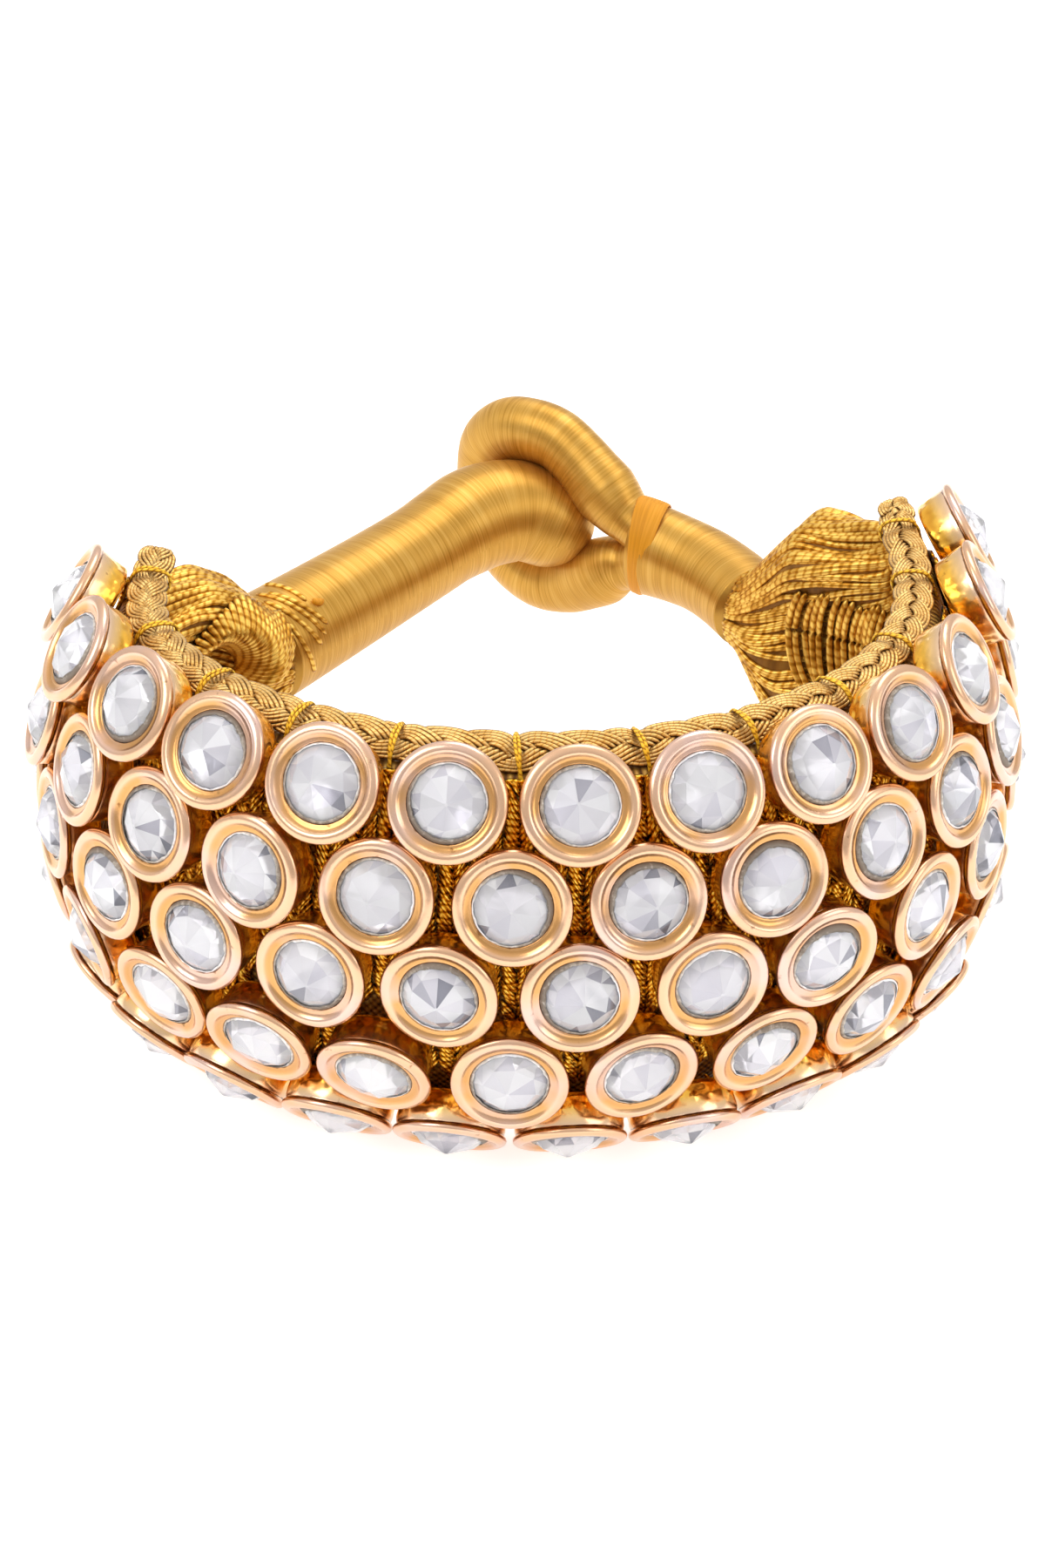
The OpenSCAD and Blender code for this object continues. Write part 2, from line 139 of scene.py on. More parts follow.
def along(row, i):
    """Length along the rims of a cup's centre: even pitches, the last ones at the right spread."""
    s = (ROW_START[row] + i) * PITCH
    return s + END_SPREAD if s > END_AFTER else s


BAND_START = along(0, 0) - START_MARGIN
BAND_END = along(0, 12) + END_MARGIN


def inside(s, z, depth):
    """Point at length s and height z, depth inside the oval of the seats and drawn in by the bulge."""
    s, z, depth = np.broadcast_arrays(s, z, depth)
    p = plan(angle_at(s)) - (depth + bulge_in(z))[..., None] * plan_out(angle_at(s))
    return np.concatenate([p, z[..., None]], -1)


def seats(row):
    """Origins and turns of a row's settings: seat on the oval, turned about Z, then tipped by its lean."""
    origins, turns = [], []
    for i in range(ROW_COUNT[row]):
        wobble = (WOBBLE * math.sin(math.radians(137 * i + 61 * row)),
                  WOBBLE * math.cos(math.radians(101 * i + 83 * row)), 0, 0)
        turn, lean, shift, up = CHART.get((row + 1, i), wobble)
        a = angle_at(along(row, i) + shift)
        z = BULGE_R * math.sin((2 - row) * ROW_STEP / BULGE_R) + up
        out = plan_out(a)
        seat = plan(a) - (bulge_in(z) + ROW_DRAWN[row]) * out
        tip = math.radians(ROW_LEAN[row] + lean)
        way = math.atan2(out[1], out[0]) + math.radians(turn)
        spin = np.array(Matrix.Rotation(way, 3, "Z") @ Matrix.Rotation(math.pi / 2 - tip, 3, "Y"))
        lift = BACK_D / 2 * math.sin(math.radians(abs(lean)))
        origins.append(np.array([seat[0], seat[1], z]) + lift * spin[:, 2])
        turns.append(spin)
    return np.array(origins), np.array(turns)


SEATS = [seats(row) for row in range(5)]


# Meshes
def put(name, data):
    """Adds an object with this data to the scene."""
    piece = bpy.data.objects.new(name, data)
    scene.collection.objects.link(piece)
    return piece


def grid_mesh(name, points, uv=None, looped=False, fields=None):
    """One mesh of a batch of grids, points[batch, i, j]: quads join i to i + 1 and j to j + 1.

    The last j is joined to the first. The first and last i are joined too where the grid is looped,
    and closed with a face each where it is not.
    uv[batch, i, j] has one more j, and one more i where looped, so that no seam is smeared.
    """
    batch, rows, cols, _ = points.shape
    base = (np.arange(batch) * rows * cols)[:, None, None]
    i = np.arange(rows if looped else rows - 1)[None, :, None]
    i2 = (i + 1) % rows
    j = np.arange(cols)[None, None, :]
    j2 = (j + 1) % cols
    quads = spread(i * cols + j, i * cols + j2, i2 * cols + j2, i2 * cols + j) + base[..., None]
    loops = [quads.reshape(-1)]
    sizes = [np.full(quads.size // 4, 4)]
    if not looped:
        ring = np.arange(cols)
        loops.append((base[:, 0] + ring[::-1]).reshape(-1))
        loops.append((base[:, 0] + (rows - 1) * cols + ring).reshape(-1))
        sizes += [np.full(2 * batch, cols)]
    loops = np.concatenate(loops)
    sizes = np.concatenate(sizes)
    mesh = bpy.data.meshes.new(name)
    mesh.vertices.add(batch * rows * cols)
    mesh.vertices.foreach_set("co", placed(points).astype(np.float32).reshape(-1))
    mesh.loops.add(len(loops))
    mesh.loops.foreach_set("vertex_index", loops.astype(np.int32))
    mesh.polygons.add(len(sizes))
    mesh.polygons.foreach_set("loop_start", np.concatenate([[0], np.cumsum(sizes)[:-1]]).astype(np.int32))
    mesh.polygons.foreach_set("use_smooth", np.full(len(sizes), True))
    mesh.update(calc_edges=True)
    if uv is not None:
        at = spread(np.arange(batch)[:, None, None], i, j)
        at = at[..., None, :] + np.array([[0, 0, 0], [0, 0, 1], [0, 1, 1], [0, 1, 0]])
        wrap = uv[at[..., 0], at[..., 1], at[..., 2]].reshape(-1, 2)
        if not looped:
            ends = np.concatenate([uv[:, 0, :cols].reshape(-1, 2), uv[:, -1, :cols].reshape(-1, 2)])
            wrap = np.concatenate([wrap, ends])
        mesh.uv_layers.new(name="wrap").data.foreach_set("uv", wrap.astype(np.float32).reshape(-1))
    for key, values in (fields or {}).items():
        values = np.broadcast_to(values, points.shape[:3]).astype(np.float32)
        mesh.attributes.new(key, "FLOAT", "POINT").data.foreach_set("value", values.reshape(-1))
    mesh.validate()
    return put(name, mesh)


def smooth_path(points, steps=12):
    """Curve through given points: between two, the cubic whose slopes follow their neighbours."""
    p = np.array(points, float)
    p = np.concatenate([[2 * p[0] - p[1]], p, [2 * p[-1] - p[-2]]])
    t = (np.arange(steps) / steps)[None, :, None]
    a, b, c, d = (p[k:len(p) - 3 + k, None] for k in range(4))
    q = (2 * b + (c - a) * t + (2 * a - 5 * b + 4 * c - d) * t ** 2 + (3 * b - a - 3 * c + d) * t ** 3) / 2
    return np.concatenate([q.reshape(-1, 3), p[-2:-1]])


def lengths_of(path):
    """Length run along a path up to each of its points."""
    return np.concatenate([[0], np.cumsum(np.linalg.norm(np.diff(path, axis=0), axis=1))])


def at_length(path, s):
    """Points of a path at the lengths s."""
    run = lengths_of(path)
    return np.stack([np.interp(s, run, path[:, k]) for k in range(3)], -1)


def heading_at(path, s, reach=0.3):
    """Way of a path at the lengths s, over a short chord that stays on the path."""
    s = np.clip(s, reach, lengths_of(path)[-1] - reach)
    return unit(at_length(path, s + reach) - at_length(path, s - reach))


def tube_rings(centres, ways, side, wide, tall, sides):
    """Oval rings about centres, square to ways, half a width across and half a height along the side."""
    u = unit(np.cross(ways, side))
    v = np.cross(ways, u)
    t = turn_by(sides)[:, None]
    across = np.reshape(wide, (-1, 1, 1)) * np.cos(t) * u[:, None]
    return centres[:, None] + across + np.reshape(tall, (-1, 1, 1)) * np.sin(t) * v[:, None]


def cords(name, curves, radius, face, sides=6, up=(0, 0, 1)):
    """Round cords, curves[batch, step]: rings square to each curve, thinned at its two ends.

    Their uv is the length run in millimetres, moved on from cord to cord, and the share of a turn.
    Their field lift is 1 on the side that looks along face and -1 on the side turned away, where zari()
    paints shade.
    """
    way = unit(np.gradient(curves, axis=1))
    u = unit(np.cross(way, np.broadcast_to(np.array(up, float), way.shape)))
    v = np.cross(way, u)
    t = turn_by(sides)
    taper = np.ones(curves.shape[1])
    taper[[0, -1]] = 0.35
    r = (np.broadcast_to(radius, curves.shape[:2]) * taper)[..., None, None]
    spin = np.cos(t)[:, None] * u[:, :, None] + np.sin(t)[:, None] * v[:, :, None]
    p = curves[:, :, None] + r * spin
    lift = (spin * unit(np.broadcast_to(face, curves.shape))[:, :, None]).sum(-1)
    run = np.cumsum(np.linalg.norm(np.diff(curves, axis=1, prepend=curves[:, :1]), axis=-1), axis=1)
    moved = run[..., None] + 3.7 * np.arange(len(curves))[:, None, None]
    uv = spread(moved, np.arange(sides + 1) / sides)
    return grid_mesh(name, p, uv, fields={"lift": lift})


# Breadth of a thread, which is the length of one ring of a winding
THREAD = 0.12


def winding(name, path, cut, side, sides, cap=False, step=THREAD):
    """Thread wound on a core: a tube whose cut wanders by a few thousandths of a millimetre.

    cut gives the half width and half height at the lengths s, and cap rounds the far end.
    """
    whole = lengths_of(path)[-1]
    end = cut(np.array([whole]))[0][0]
    s = np.append(np.arange(0, whole - (end if cap else step / 2), step), whole - (end if cap else 0))
    wander = 0.0015 * np.sin(9.1 * s) + 0.003 * np.sin(5.3 * s + 1) + 0.001 * np.sin(17 * s)
    wide, tall = (c + wander for c in cut(s))
    if cap:
        t = np.linspace(0, np.pi / 2, 22)[1:]
        dome = np.maximum(end * np.cos(t), 0.05)
        s = np.concatenate([s, whole - end + end * np.sin(t)])
        wide, tall = (np.concatenate([c, dome]) for c in (wide, tall))
    rings = tube_rings(at_length(path, s), heading_at(path, s), side, wide, tall, sides)
    uv = spread(s[:, None], 6 * np.arange(sides + 1) / sides)
    return grid_mesh(name, rings[None], uv[None])


# Materials
def colour(code):
    """Linear colour of an sRGB hex code."""
    c = np.array([int(code[k:k + 2], 16) for k in (1, 3, 5)]) / 255
    return (*np.where(c <= 0.04045, c / 12.92, ((c + 0.055) / 1.055) ** 2.4), 1)


def feed(tree, n, inputs):
    """Sets or links the inputs of a node. A node given as a value stands for its first output."""
    for key, value in inputs.items():
        if isinstance(value, bpy.types.Node):
            value = value.outputs[0]
        if isinstance(value, bpy.types.NodeSocket):
            tree.links.new(value, n.inputs[key])
        else:
            n.inputs[key].default_value = value


def node(tree, kind, inputs=None, stops=(), span=(), **settings):
    """Adds a node with its settings and inputs, a ramp's stops, or a range's span from and to."""
    n = tree.nodes.new("ShaderNode" + kind)
    for key, value in settings.items():
        setattr(n, key, value)
    feed(tree, n, inputs or {})
    feed(tree, n, dict(zip(("From Min", "From Max", "To Min", "To Max"), span)))
    for k, (place, code) in enumerate(stops):
        e = n.color_ramp.elements[k] if k < 2 else n.color_ramp.elements.new(place)
        e.position = place
        e.color = colour(code)
    return n


def finish(name, **surface):
    """A material with its shader's own values set, its tree and its shader."""
    m = bpy.data.materials.new(name)
    m.use_nodes = True
    shader = m.node_tree.nodes["Principled BSDF"]
    feed(m.node_tree, shader, {key.replace("_", " "): value for key, value in surface.items()})
    return m, m.node_tree, shader


def gilt_brass():
    """Spun brass plated rose-gold: satin peach rims with a painted lavender reflection in blots, beaten
    amber walls, brown film in the grooves.
    """
    m, tree, shader = finish("rose_gold_plated_brass", Metallic=1.0)
    place = node(tree, "TexCoord").outputs["Object"]
    zone, grime, beaten = (node(tree, "Attribute", attribute_name=key).outputs["Fac"]
                           for key in ("zone", "grime", "beaten"))
    # Tone by zone: the cove's golden brown is its own, and it is darkest in the cove's floor and down the
    # pocket by the stone as painted shade
    tone = node(tree, "ValToRGB", {"Fac": zone}, stops=[
        (0.0, "#FAB640"), (1.0, "#D8A062"), (0.12, "#FDC452"), (0.22, "#F9CC88"), (0.32, "#F2CCA8"),
        (0.5, "#E8BA94"), (0.7, "#ECC09C"), (0.84, "#DDA974")])
    # Painted reflection: a pale lavender sheen in blots of some 5 mm over the peach of the rims
    wash = node(tree, "TexNoise", {"Vector": place, "Scale": 190})
    painted_sheen = node(tree, "MapRange", {"Value": wash}, span=(0.5, 0.68, 0.0, 0.6))
    rim = node(tree, "MapRange", {"Value": zone}, span=(0.25, 0.45))
    cast = node(tree, "Math", {0: painted_sheen, 1: rim}, operation="MULTIPLY")
    peach = node(tree, "Mix", {0: cast, 6: tone, 7: colour("#E3C6C2")}, data_type="RGBA")
    # Film: blots of about a millimetre, thick in the grooves and a rare nick elsewhere
    blots = node(tree, "TexNoise", {"Vector": place, "Scale": 1300, "Detail": 4.0})
    thick = node(tree, "Math", {0: grime, 1: 0.42, 2: blots}, operation="MULTIPLY_ADD")
    film = node(tree, "MapRange", {"Value": thick}, span=(0.68, 0.8, 0.0, 0.8))
    mix = node(tree, "Mix", {0: film, 6: peach.outputs[2], 7: colour("#6A3A0C")}, data_type="RGBA")
    # Dents of the beating, about 0.7 mm apart on the walls, with a darker amber between them
    dents = node(tree, "TexVoronoi", {"Vector": place, "Scale": 1400}, feature="SMOOTH_F1")
    worn = node(tree, "Math", {0: dents, 1: beaten}, operation="MULTIPLY")
    seam = node(tree, "MapRange", {"Value": worn}, span=(0.4, 0.75, 0.0, 0.5))
    gold = node(tree, "Mix", {0: seam, 6: mix.outputs[2], 7: colour("#B46A0C")}, data_type="RGBA")
    rough = node(tree, "MapRange", {"Value": zone}, span=(0.05, 0.45, 0.2, 0.24))
    depth = node(tree, "Math", {0: beaten, 1: 0.7, 2: 0.04}, operation="MULTIPLY_ADD")
    bump = node(tree, "Bump", {"Height": dents, "Strength": depth, "Distance": 0.00024}, invert=True)
    feed(tree, shader, {"Base Color": gold.outputs[2], "Roughness": rough, "Normal": bump})
    return m


def foil():
    """Silver foil behind the glass: mirror-like, crumbled to a grey-beige crust on one side."""
    m, tree, shader = finish("silver_foil", Metallic=0.9)
    place = node(tree, "TexCoord").outputs["Object"]
    worn = node(tree, "Attribute", attribute_name="worn").outputs["Fac"]
    crumb = node(tree, "TexNoise", {"Vector": place, "Scale": 2600, "Detail": 5.0, "Roughness": 0.7})
    edge = node(tree, "Math", {0: worn, 1: crumb}, operation="MULTIPLY")
    tone = node(tree, "ValToRGB", {"Fac": edge}, stops=[
        (0.22, "#F8F6F9"), (0.85, "#968A7E"), (0.36, "#E8E3DE"), (0.55, "#C4BAAE")])
    rough = node(tree, "MapRange", {"Value": edge}, span=(0.2, 0.4, 0.26, 0.7))
    # Crinkles about 2 mm apart
    crinkle = node(tree, "TexNoise", {"Vector": place, "Scale": 500})
    bump = node(tree, "Bump", {"Height": crinkle, "Strength": 0.05, "Distance": 0.0002})
    feed(tree, shader, {"Base Color": tone, "Roughness": rough, "Normal": bump})
    return m


def glass():
    """Clear crown glass, cut and polished: each facet lets its own share of the foil's light back, by a
    tint from its shade field that is partly the glass's faint lavender and partly a painted reflection,
    dark on a few facets.
    """
    m, tree, shader = finish("cut_crown_glass", Roughness=0.0, IOR=1.52, Transmission_Weight=0.7)
    shade = node(tree, "Attribute", attribute_name="shade").outputs["Fac"]
    tone = node(tree, "ValToRGB", {"Fac": shade}, stops=[
        (0.0, "#FFFFFF"), (1.0, "#70727F"), (0.45, "#F6F4F8"), (0.75, "#DAD7E2")])
    feed(tree, shader, {"Base Color": tone})
    return m


def zari(name, light, mid, dark, groove_shade, turns_per_mm, gap=0.3, dash=1.0, uneven=1.2, shade_edge=-0.4,
         metallic=0.75, rough=0.36):
    """Zari: gilt strip wound round silk in slanted dashes, with painted glints on their tops, painted shade
    between them, and painted shade on the side of a cord turned away from its face.

    turns_per_mm is coarser than the real 6 to 8, so that the dashes show. gap is the share of half a dash
    taken by the dark between turns, dash how strong the dashes are, uneven how patchy the painted shine is,
    shade_edge how far round a cord the painted shade on its turned-away side reaches, and groove_shade its
    colour.
    """
    m, tree, shader = finish(name, Metallic=metallic, Roughness=rough)
    xy = node(tree, "SeparateXYZ", {0: node(tree, "UVMap", uv_map="wrap")})
    run = node(tree, "Math", {0: xy.outputs["X"], 1: turns_per_mm}, operation="MULTIPLY")
    around = node(tree, "Math", {0: xy.outputs["Y"], 1: run}, operation="ADD")
    tooth = node(tree, "Math", {0: around, 1: 0.5}, operation="PINGPONG")
    strip = node(tree, "MapRange", {"Value": tooth}, span=(0.0, gap))
    place = node(tree, "TexCoord").outputs["Object"]
    patches = node(tree, "TexNoise", {"Vector": place, "Scale": 900, "Detail": 3.0})
    level = 0.85 - uneven / 2 - dash
    tilt = node(tree, "Math", {0: patches, 1: uneven, 2: level}, operation="MULTIPLY_ADD")
    shade = node(tree, "Math", {0: strip, 1: dash, 2: tilt}, operation="MULTIPLY_ADD", use_clamp=True)
    # Painted glints on the tops of the dashes, painted shade between them, and patches of painted shine
    tone = node(tree, "ValToRGB", {"Fac": shade}, stops=[(0.05, dark), (0.95, light), (0.5, mid)])
    # Painted shade on the side of a cord turned away from its face
    lift = node(tree, "Attribute", attribute_name="lift").outputs["Fac"]
    unshaded_side = node(tree, "MapRange", {"Value": lift}, span=(shade_edge, shade_edge + 0.8))
    both = node(tree, "Mix", {0: unshaded_side, 6: colour(groove_shade), 7: tone}, data_type="RGBA")
    bump = node(tree, "Bump", {"Height": strip, "Strength": 0.6 * dash, "Distance": 0.00003})
    feed(tree, shader, {"Base Color": both.outputs[2], "Normal": bump})
    return m


def wound(name, light, mid, dark, pitch, metallic=0.6, rough=0.4):
    """Fine metallic thread wound side by side over a core: satin, in faint rings and broad streaks.

    pitch is the breadth of a ring of turns, drawn coarser than the real 0.1 mm thread.
    """
    m, tree, shader = finish(name, Metallic=metallic, Roughness=rough, Anisotropic=0.7)
    wrap = node(tree, "UVMap", uv_map="wrap")
    rings, streaks = (
        node(tree, "TexNoise", {"Vector": node(tree, "Mapping", {"Vector": wrap, "Scale": scale}),
                                "Scale": 1.0, "Detail": detail})
        for scale, detail in (((1 / pitch, 0.5, 1), 2.0), ((0.16 / pitch, 0.35, 1), 3.0)))
    both = node(tree, "Mix", {0: 0.3, 2: rings, 3: streaks})
    tone = node(tree, "ValToRGB", {"Fac": both}, stops=[(0.25, dark), (0.75, light), (0.5, mid)])
    bump = node(tree, "Bump", {"Height": both, "Strength": 0.3, "Distance": 0.00002})
    lie = node(tree, "Tangent", direction_type="UV_MAP", uv_map="wrap")
    feed(tree, shader, {"Base Color": tone, "Normal": bump, "Tangent": lie})
    return m


def tape():
    """Woven zari tape behind the cords: flat gilt weft over silk warps, 0.35 mm apart."""
    m, tree, shader = finish("woven_zari_tape", Metallic=0.5, Roughness=0.5)
    wrap = node(tree, "UVMap", uv_map="wrap")
    xy = node(tree, "SeparateXYZ", {0: wrap})
    beats = [node(tree, "Math", {0: xy.outputs[axis], 1: math.pi / 0.35}, operation="MULTIPLY")
             for axis in "XY"]
    warp, weft = (node(tree, "Math", {0: beat}, operation="SINE") for beat in beats)
    cross = node(tree, "Math", {0: warp, 1: weft}, operation="MULTIPLY")
    uneven = node(tree, "TexNoise", {"Vector": wrap, "Scale": 1.3, "Detail": 4.0})
    high = node(tree, "Math", {0: cross, 1: 0.3, 2: uneven}, operation="MULTIPLY_ADD")
    tone = node(tree, "ValToRGB", {"Fac": high}, stops=[
        (0.2, "#5A350A"), (0.85, "#D9AE58"), (0.5, "#A8762A")])
    bump = node(tree, "Bump", {"Height": cross, "Strength": 0.7, "Distance": 0.00008})
    feed(tree, shader, {"Base Color": tone, "Normal": bump})
    return m


GILT = gilt_brass()
FOIL = foil()
GLASS = glass()
TAPE = tape()
# Thread colours: light, mid and dark for the dashes with their painted glints and shade, then the painted
# shade of a cord's turned-away side
EDGE_ZARI = zari("twisted_light_zari", "#F2C97E", "#D8A04C", "#A4702A", "#522A04", 2.4,
                 gap=0.16, dash=0.5, shade_edge=0.14)
BAND_ZARI = zari("twisted_dark_zari", "#FFD85C", "#E49C1E", "#96600A", "#4E2A02", 1.6,
                 metallic=1.0, rough=0.3)
GATHER_ZARI = zari("plied_gold_zari", "#FACE64", "#C98A22", "#9A6812", "#7E500C", 1.3,
                   dash=0.55, uneven=1.7, rough=0.4)
STITCH = zari("yellow_sewing_thread", "#FFD23C", "#EBB012", "#A87204", "#8A5A04", 2.2,
              metallic=0.2, rough=0.5)
WOUND = wound("wound_ochre_thread", "#E2B660", "#CE9B42", "#AA7822", 0.17, metallic=0.75, rough=0.42)
BINDING = wound("yellow_binding_silk", "#EDA834", "#DC9418", "#BC7808", 0.2, metallic=0.1, rough=0.7)
CORE = wound("gold_silk_core", "#B07C30", "#8F6020", "#6A4410", 0.3, metallic=0.4, rough=0.6)


def dress(piece, material, slot, *nodes):
    """Gives a piece its material and its body, and hides the nodes that it stands for."""
    piece.data.materials.clear()
    piece.data.materials.append(material)
    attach(piece, "root")
    if nodes:
        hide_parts(*nodes)
    return piece


# Cups and stones

# Cup profile from the middle of the back to the floor under the foil: radius, height,
# zone (0 foot of the wall, 0.3 neck, 0.5 flange, 0.7 ridge, 1 cove, darker partly as painted shade),
# hammering and grime
CUP_PROFILE = np.array([
    [0.01, 0, 0, 0, 0], [3.3, 0, 0, 0, 0], [3.56, 0.12, 0, 0.5, 0.3], [3.66, 0.4, 0.02, 0.8, 0.2],
    [3.71, 0.75, 0.06, 1, 0.1], [3.76, 1.1, 0.12, 1, 0], [3.81, 1.45, 0.18, 0.8, 0],
    [3.85, 1.8, 0.24, 0.4, 0], [3.89, 2.1, 0.28, 0.1, 0], [3.92, 2.34, 0.32, 0, 0],
    [3.9, 2.44, 0.32, 0, 1], [3.97, 2.49, 0.4, 0, 0.8],
    [4.08, 2.58, 0.46, 0, 0], [4.14, 2.7, 0.5, 0, 0], [4.15, 2.82, 0.5, 0, 0], [4.11, 2.95, 0.5, 0, 0],
    [4.02, 3.06, 0.5, 0, 0], [3.89, 3.14, 0.53, 0, 0], [3.75, 3.19, 0.58, 0, 0], [3.6, 3.2, 0.66, 0, 0],
    [3.48, 3.17, 0.7, 0, 0], [3.39, 3.1, 0.76, 0, 0], [3.3, 3.02, 0.86, 0, 0], [3.19, 2.95, 0.96, 0, 0],
    [3.06, 2.91, 1, 0, 0], [2.94, 2.9, 0.95, 0, 0], [2.86, 2.9, 0.9, 0, 0.1], [2.79, 2.86, 0.95, 0, 0.6],
    [2.76, 2.78, 1, 0, 0.8], [2.76, 2.26, 1, 0, 0], [0.01, 2.26, 1, 0, 0]])
# How much wider the foot of the wall is in each row, by the square root of the height left to the neck
ROW_STOUT = [0, 0, 0, 0, 0.3]
NECK_Z = 2.3
BACK_MID = 2.5
CUP_SIDES = 48
# Waves of the beaten wall: how many go round, how fast they turn with the height, and how deep they are
DENTS = ((3, 0.9, 0.03), (7, 2.1, 0.03), (11, -3.1, 0.03), (17, 4.3, 0.015))


def lathed(row, radius, angle, z):
    """Profiles turned round an axis, and set on the seats of a row."""
    origins, turns = SEATS[row]
    local = spread(radius * np.cos(angle), radius * np.sin(angle), z)
    return np.einsum("nij,npqj->npqi", turns, local) + origins[:, None, None]


def cups(row, rng):
    """Lathed cups: the profile turned round, its wall dented by the sum of DENTS, its rim a little oval."""
    n = ROW_COUNT[row]
    r, z, zone, hammer, grime = (CUP_PROFILE[:, k][None, :, None] for k in range(5))
    angle = turn_by(CUP_SIDES)
    dent = sum(size * np.sin(lobes * angle + rise * z + rng.uniform(0, 2 * np.pi, (n, 1, 1)))
               for lobes, rise, size in DENTS)
    oval = 0.02 * np.sin(2 * angle + rng.uniform(0, 6, (n, 1, 1)))
    stout = ROW_STOUT[row] * np.clip(1 - z / NECK_Z, 0, 1) ** 0.5 * np.clip(r - BACK_MID, 0, 1)
    radius = r + hammer * (dent - 0.05) + oval * np.clip(r - 3, 0, 1) + stout
    fields = {"zone": zone, "grime": grime, "beaten": hammer}
    return grid_mesh(f"gilt_cups_row_{row + 1}", lathed(row, radius, angle, z), fields=fields)


# Foil under the stones, a dish that climbs the pocket's wall and is pressed over the girdle:
# radius, height, wear and share of the ragged edge
FOIL_PROFILE = np.array([
    [0.01, 2.29, 0, 0], [2.75, 2.29, 1.5, 0], [2.765, 2.86, 1.5, 0], [2.66, 2.95, 1.5, 0.5],
    [2.56, 3, 1.3, 1], [2.58, 2.96, 1.3, 1], [2.66, 2.86, 1.5, 0.5], [2.73, 2.72, 1.5, 0],
    [2.7, 2.55, 1.4, 0], [2.6, 2.44, 1.1, 0], [2.4, 2.39, 0.75, 0], [2, 2.37, 0.35, 0],
    [1.2, 2.36, 0, 0], [0.01, 2.36, 0, 0]])
FOIL_SIDES = 60
FOIL_BACK = 2.31
CRINKLE = 0.008
RAGGED = 0.02


def foils(row, rng):
    """Foil dishes: a turned profile with crinkles that grow towards the edge, and wear on one side.

    The edge over the girdle is ragged by a sum of waves, and reaches further in where the foil is worn.
    """
    n = ROW_COUNT[row]
    r, z, wear, ragged = (FOIL_PROFILE[:, k][None, :, None] for k in range(4))
    angle = turn_by(FOIL_SIDES)
    crinkle = rough_edge = 0
    for lobes in (5, 8, 13, 17, 23):
        wave = np.sin(lobes * angle + rng.uniform(0, 6, (n, 1, 1)))
        crinkle = crinkle + CRINKLE * wave
        rough_edge = rough_edge + RAGGED * wave
    side = np.cos(angle - rng.uniform(0, 2 * np.pi, (n, 1, 1)))
    spoilt = (0.62 + 0.5 * side) * rng.uniform(0.6, 1.3, (n, 1, 1))
    reach = ragged * (0.06 + rough_edge - 0.3 * np.clip(spoilt - 0.5, 0, 1))
    high = z + crinkle * np.where(z > FOIL_BACK, np.minimum(r, 1), 0) - 0.9 * reach
    points = lathed(row, r + reach, angle, high)
    return grid_mesh(f"silver_foils_row_{row + 1}", points, fields={"worn": wear * (0.3 + 0.8 * spoilt)})


# Rings of a stone's corners: radius and height
GIRDLE_FOOT = (2.6, 2.46)
GIRDLE = (2.69, 2.78)
CROWN = (1.9, 3.48)
TIP = (0.12, 4.15)
# Share of crown facets with a dark painted reflection
DARK_SHARE = 0.08


def corners(count, size, start, shift, rng, centre=(0, 0), uneven=0.0):
    """Corners on a circle about the centre, each off it and off its height by up to the uneven share."""
    a = start + 2 * np.pi * (np.arange(count) + shift) / count
    wide = size[0] * (1 + uneven * rng.uniform(-1, 1, count))
    tall = size[1] + 1.5 * uneven * rng.uniform(-1, 1, count)
    return spread(centre[0] + wide * np.cos(a), centre[1] + wide * np.sin(a), tall)


def stones(row, rng):
    """Rose-cut glass: a ring of triangular facets about a point, and two rings of facets to the girdle."""
    origins, turns = SEATS[row]
    verts, faces, shades = [], [], []
    for origin, spin in zip(origins, turns):
        n = int(rng.integers(8, 11))
        start = rng.uniform(0, 2 * np.pi)
        tip = rng.normal(0, 0.15, 2)
        m = 2 * n
        local = np.concatenate([
            corners(m, GIRDLE_FOOT, start, 0, rng), corners(m, GIRDLE, start, 0, rng),
            corners(n, CROWN, start, 0.25, rng, uneven=0.05),
            corners(n, TIP, start, 0.25, rng, centre=tip)])
        base = sum(len(v) for v in verts)
        verts.append(local @ spin.T + origin)
        i = np.arange(m)
        k = np.arange(n)
        g, s, c = m, 2 * m, 2 * m + n
        i2, k2 = (i + 1) % m, (k + 1) % n
        faces.append([base + i[::-1]])
        for corner in ((i, i2, g + i2, g + i), (g + 2 * k, g + 2 * k + 1, s + k),
                       (g + 2 * k + 1, s + k2, s + k), (g + 2 * k + 1, g + (2 * k + 2) % m, s + k2),
                       (s + k, s + k2, c + k2, c + k)):
            faces.append(base + np.stack(corner, -1))
        faces.append([base + c + k])
        # Painted reflections in the crown facets: about one in twelve is dark, and the rest run from clear
        # to faint lavender, which is partly the glass's own tint
        dark = rng.random(4 * n) < DARK_SHARE
        crown = np.where(dark, rng.uniform(0.85, 1, 4 * n), rng.uniform(0, 0.7, 4 * n))
        shades.append(np.concatenate([np.zeros(1 + m), crown, np.zeros(1)]))
    mesh = bpy.data.meshes.new(f"rose_cut_stones_row_{row + 1}")
    mesh.from_pydata(placed(np.concatenate(verts)), [], [f.tolist() for block in faces for f in block])
    shade = mesh.attributes.new("shade", "FLOAT", "FACE")
    shade.data.foreach_set("value", np.concatenate(shades).astype(np.float32))
    mesh.update()
    return put(mesh.name, mesh)


rng = np.random.default_rng(11)
for row in range(5):
    dress(cups(row, rng), GILT, "gilt_cup", f"cups_row_{row + 1}")
    dress(foils(row, rng), FOIL, "gilt_cup")
    dress(stones(row, rng), GLASS, "glass_stone", f"stones_row_{row + 1}")


# Band
BAND_TOP = 13.9
BAND_STEP = 0.6


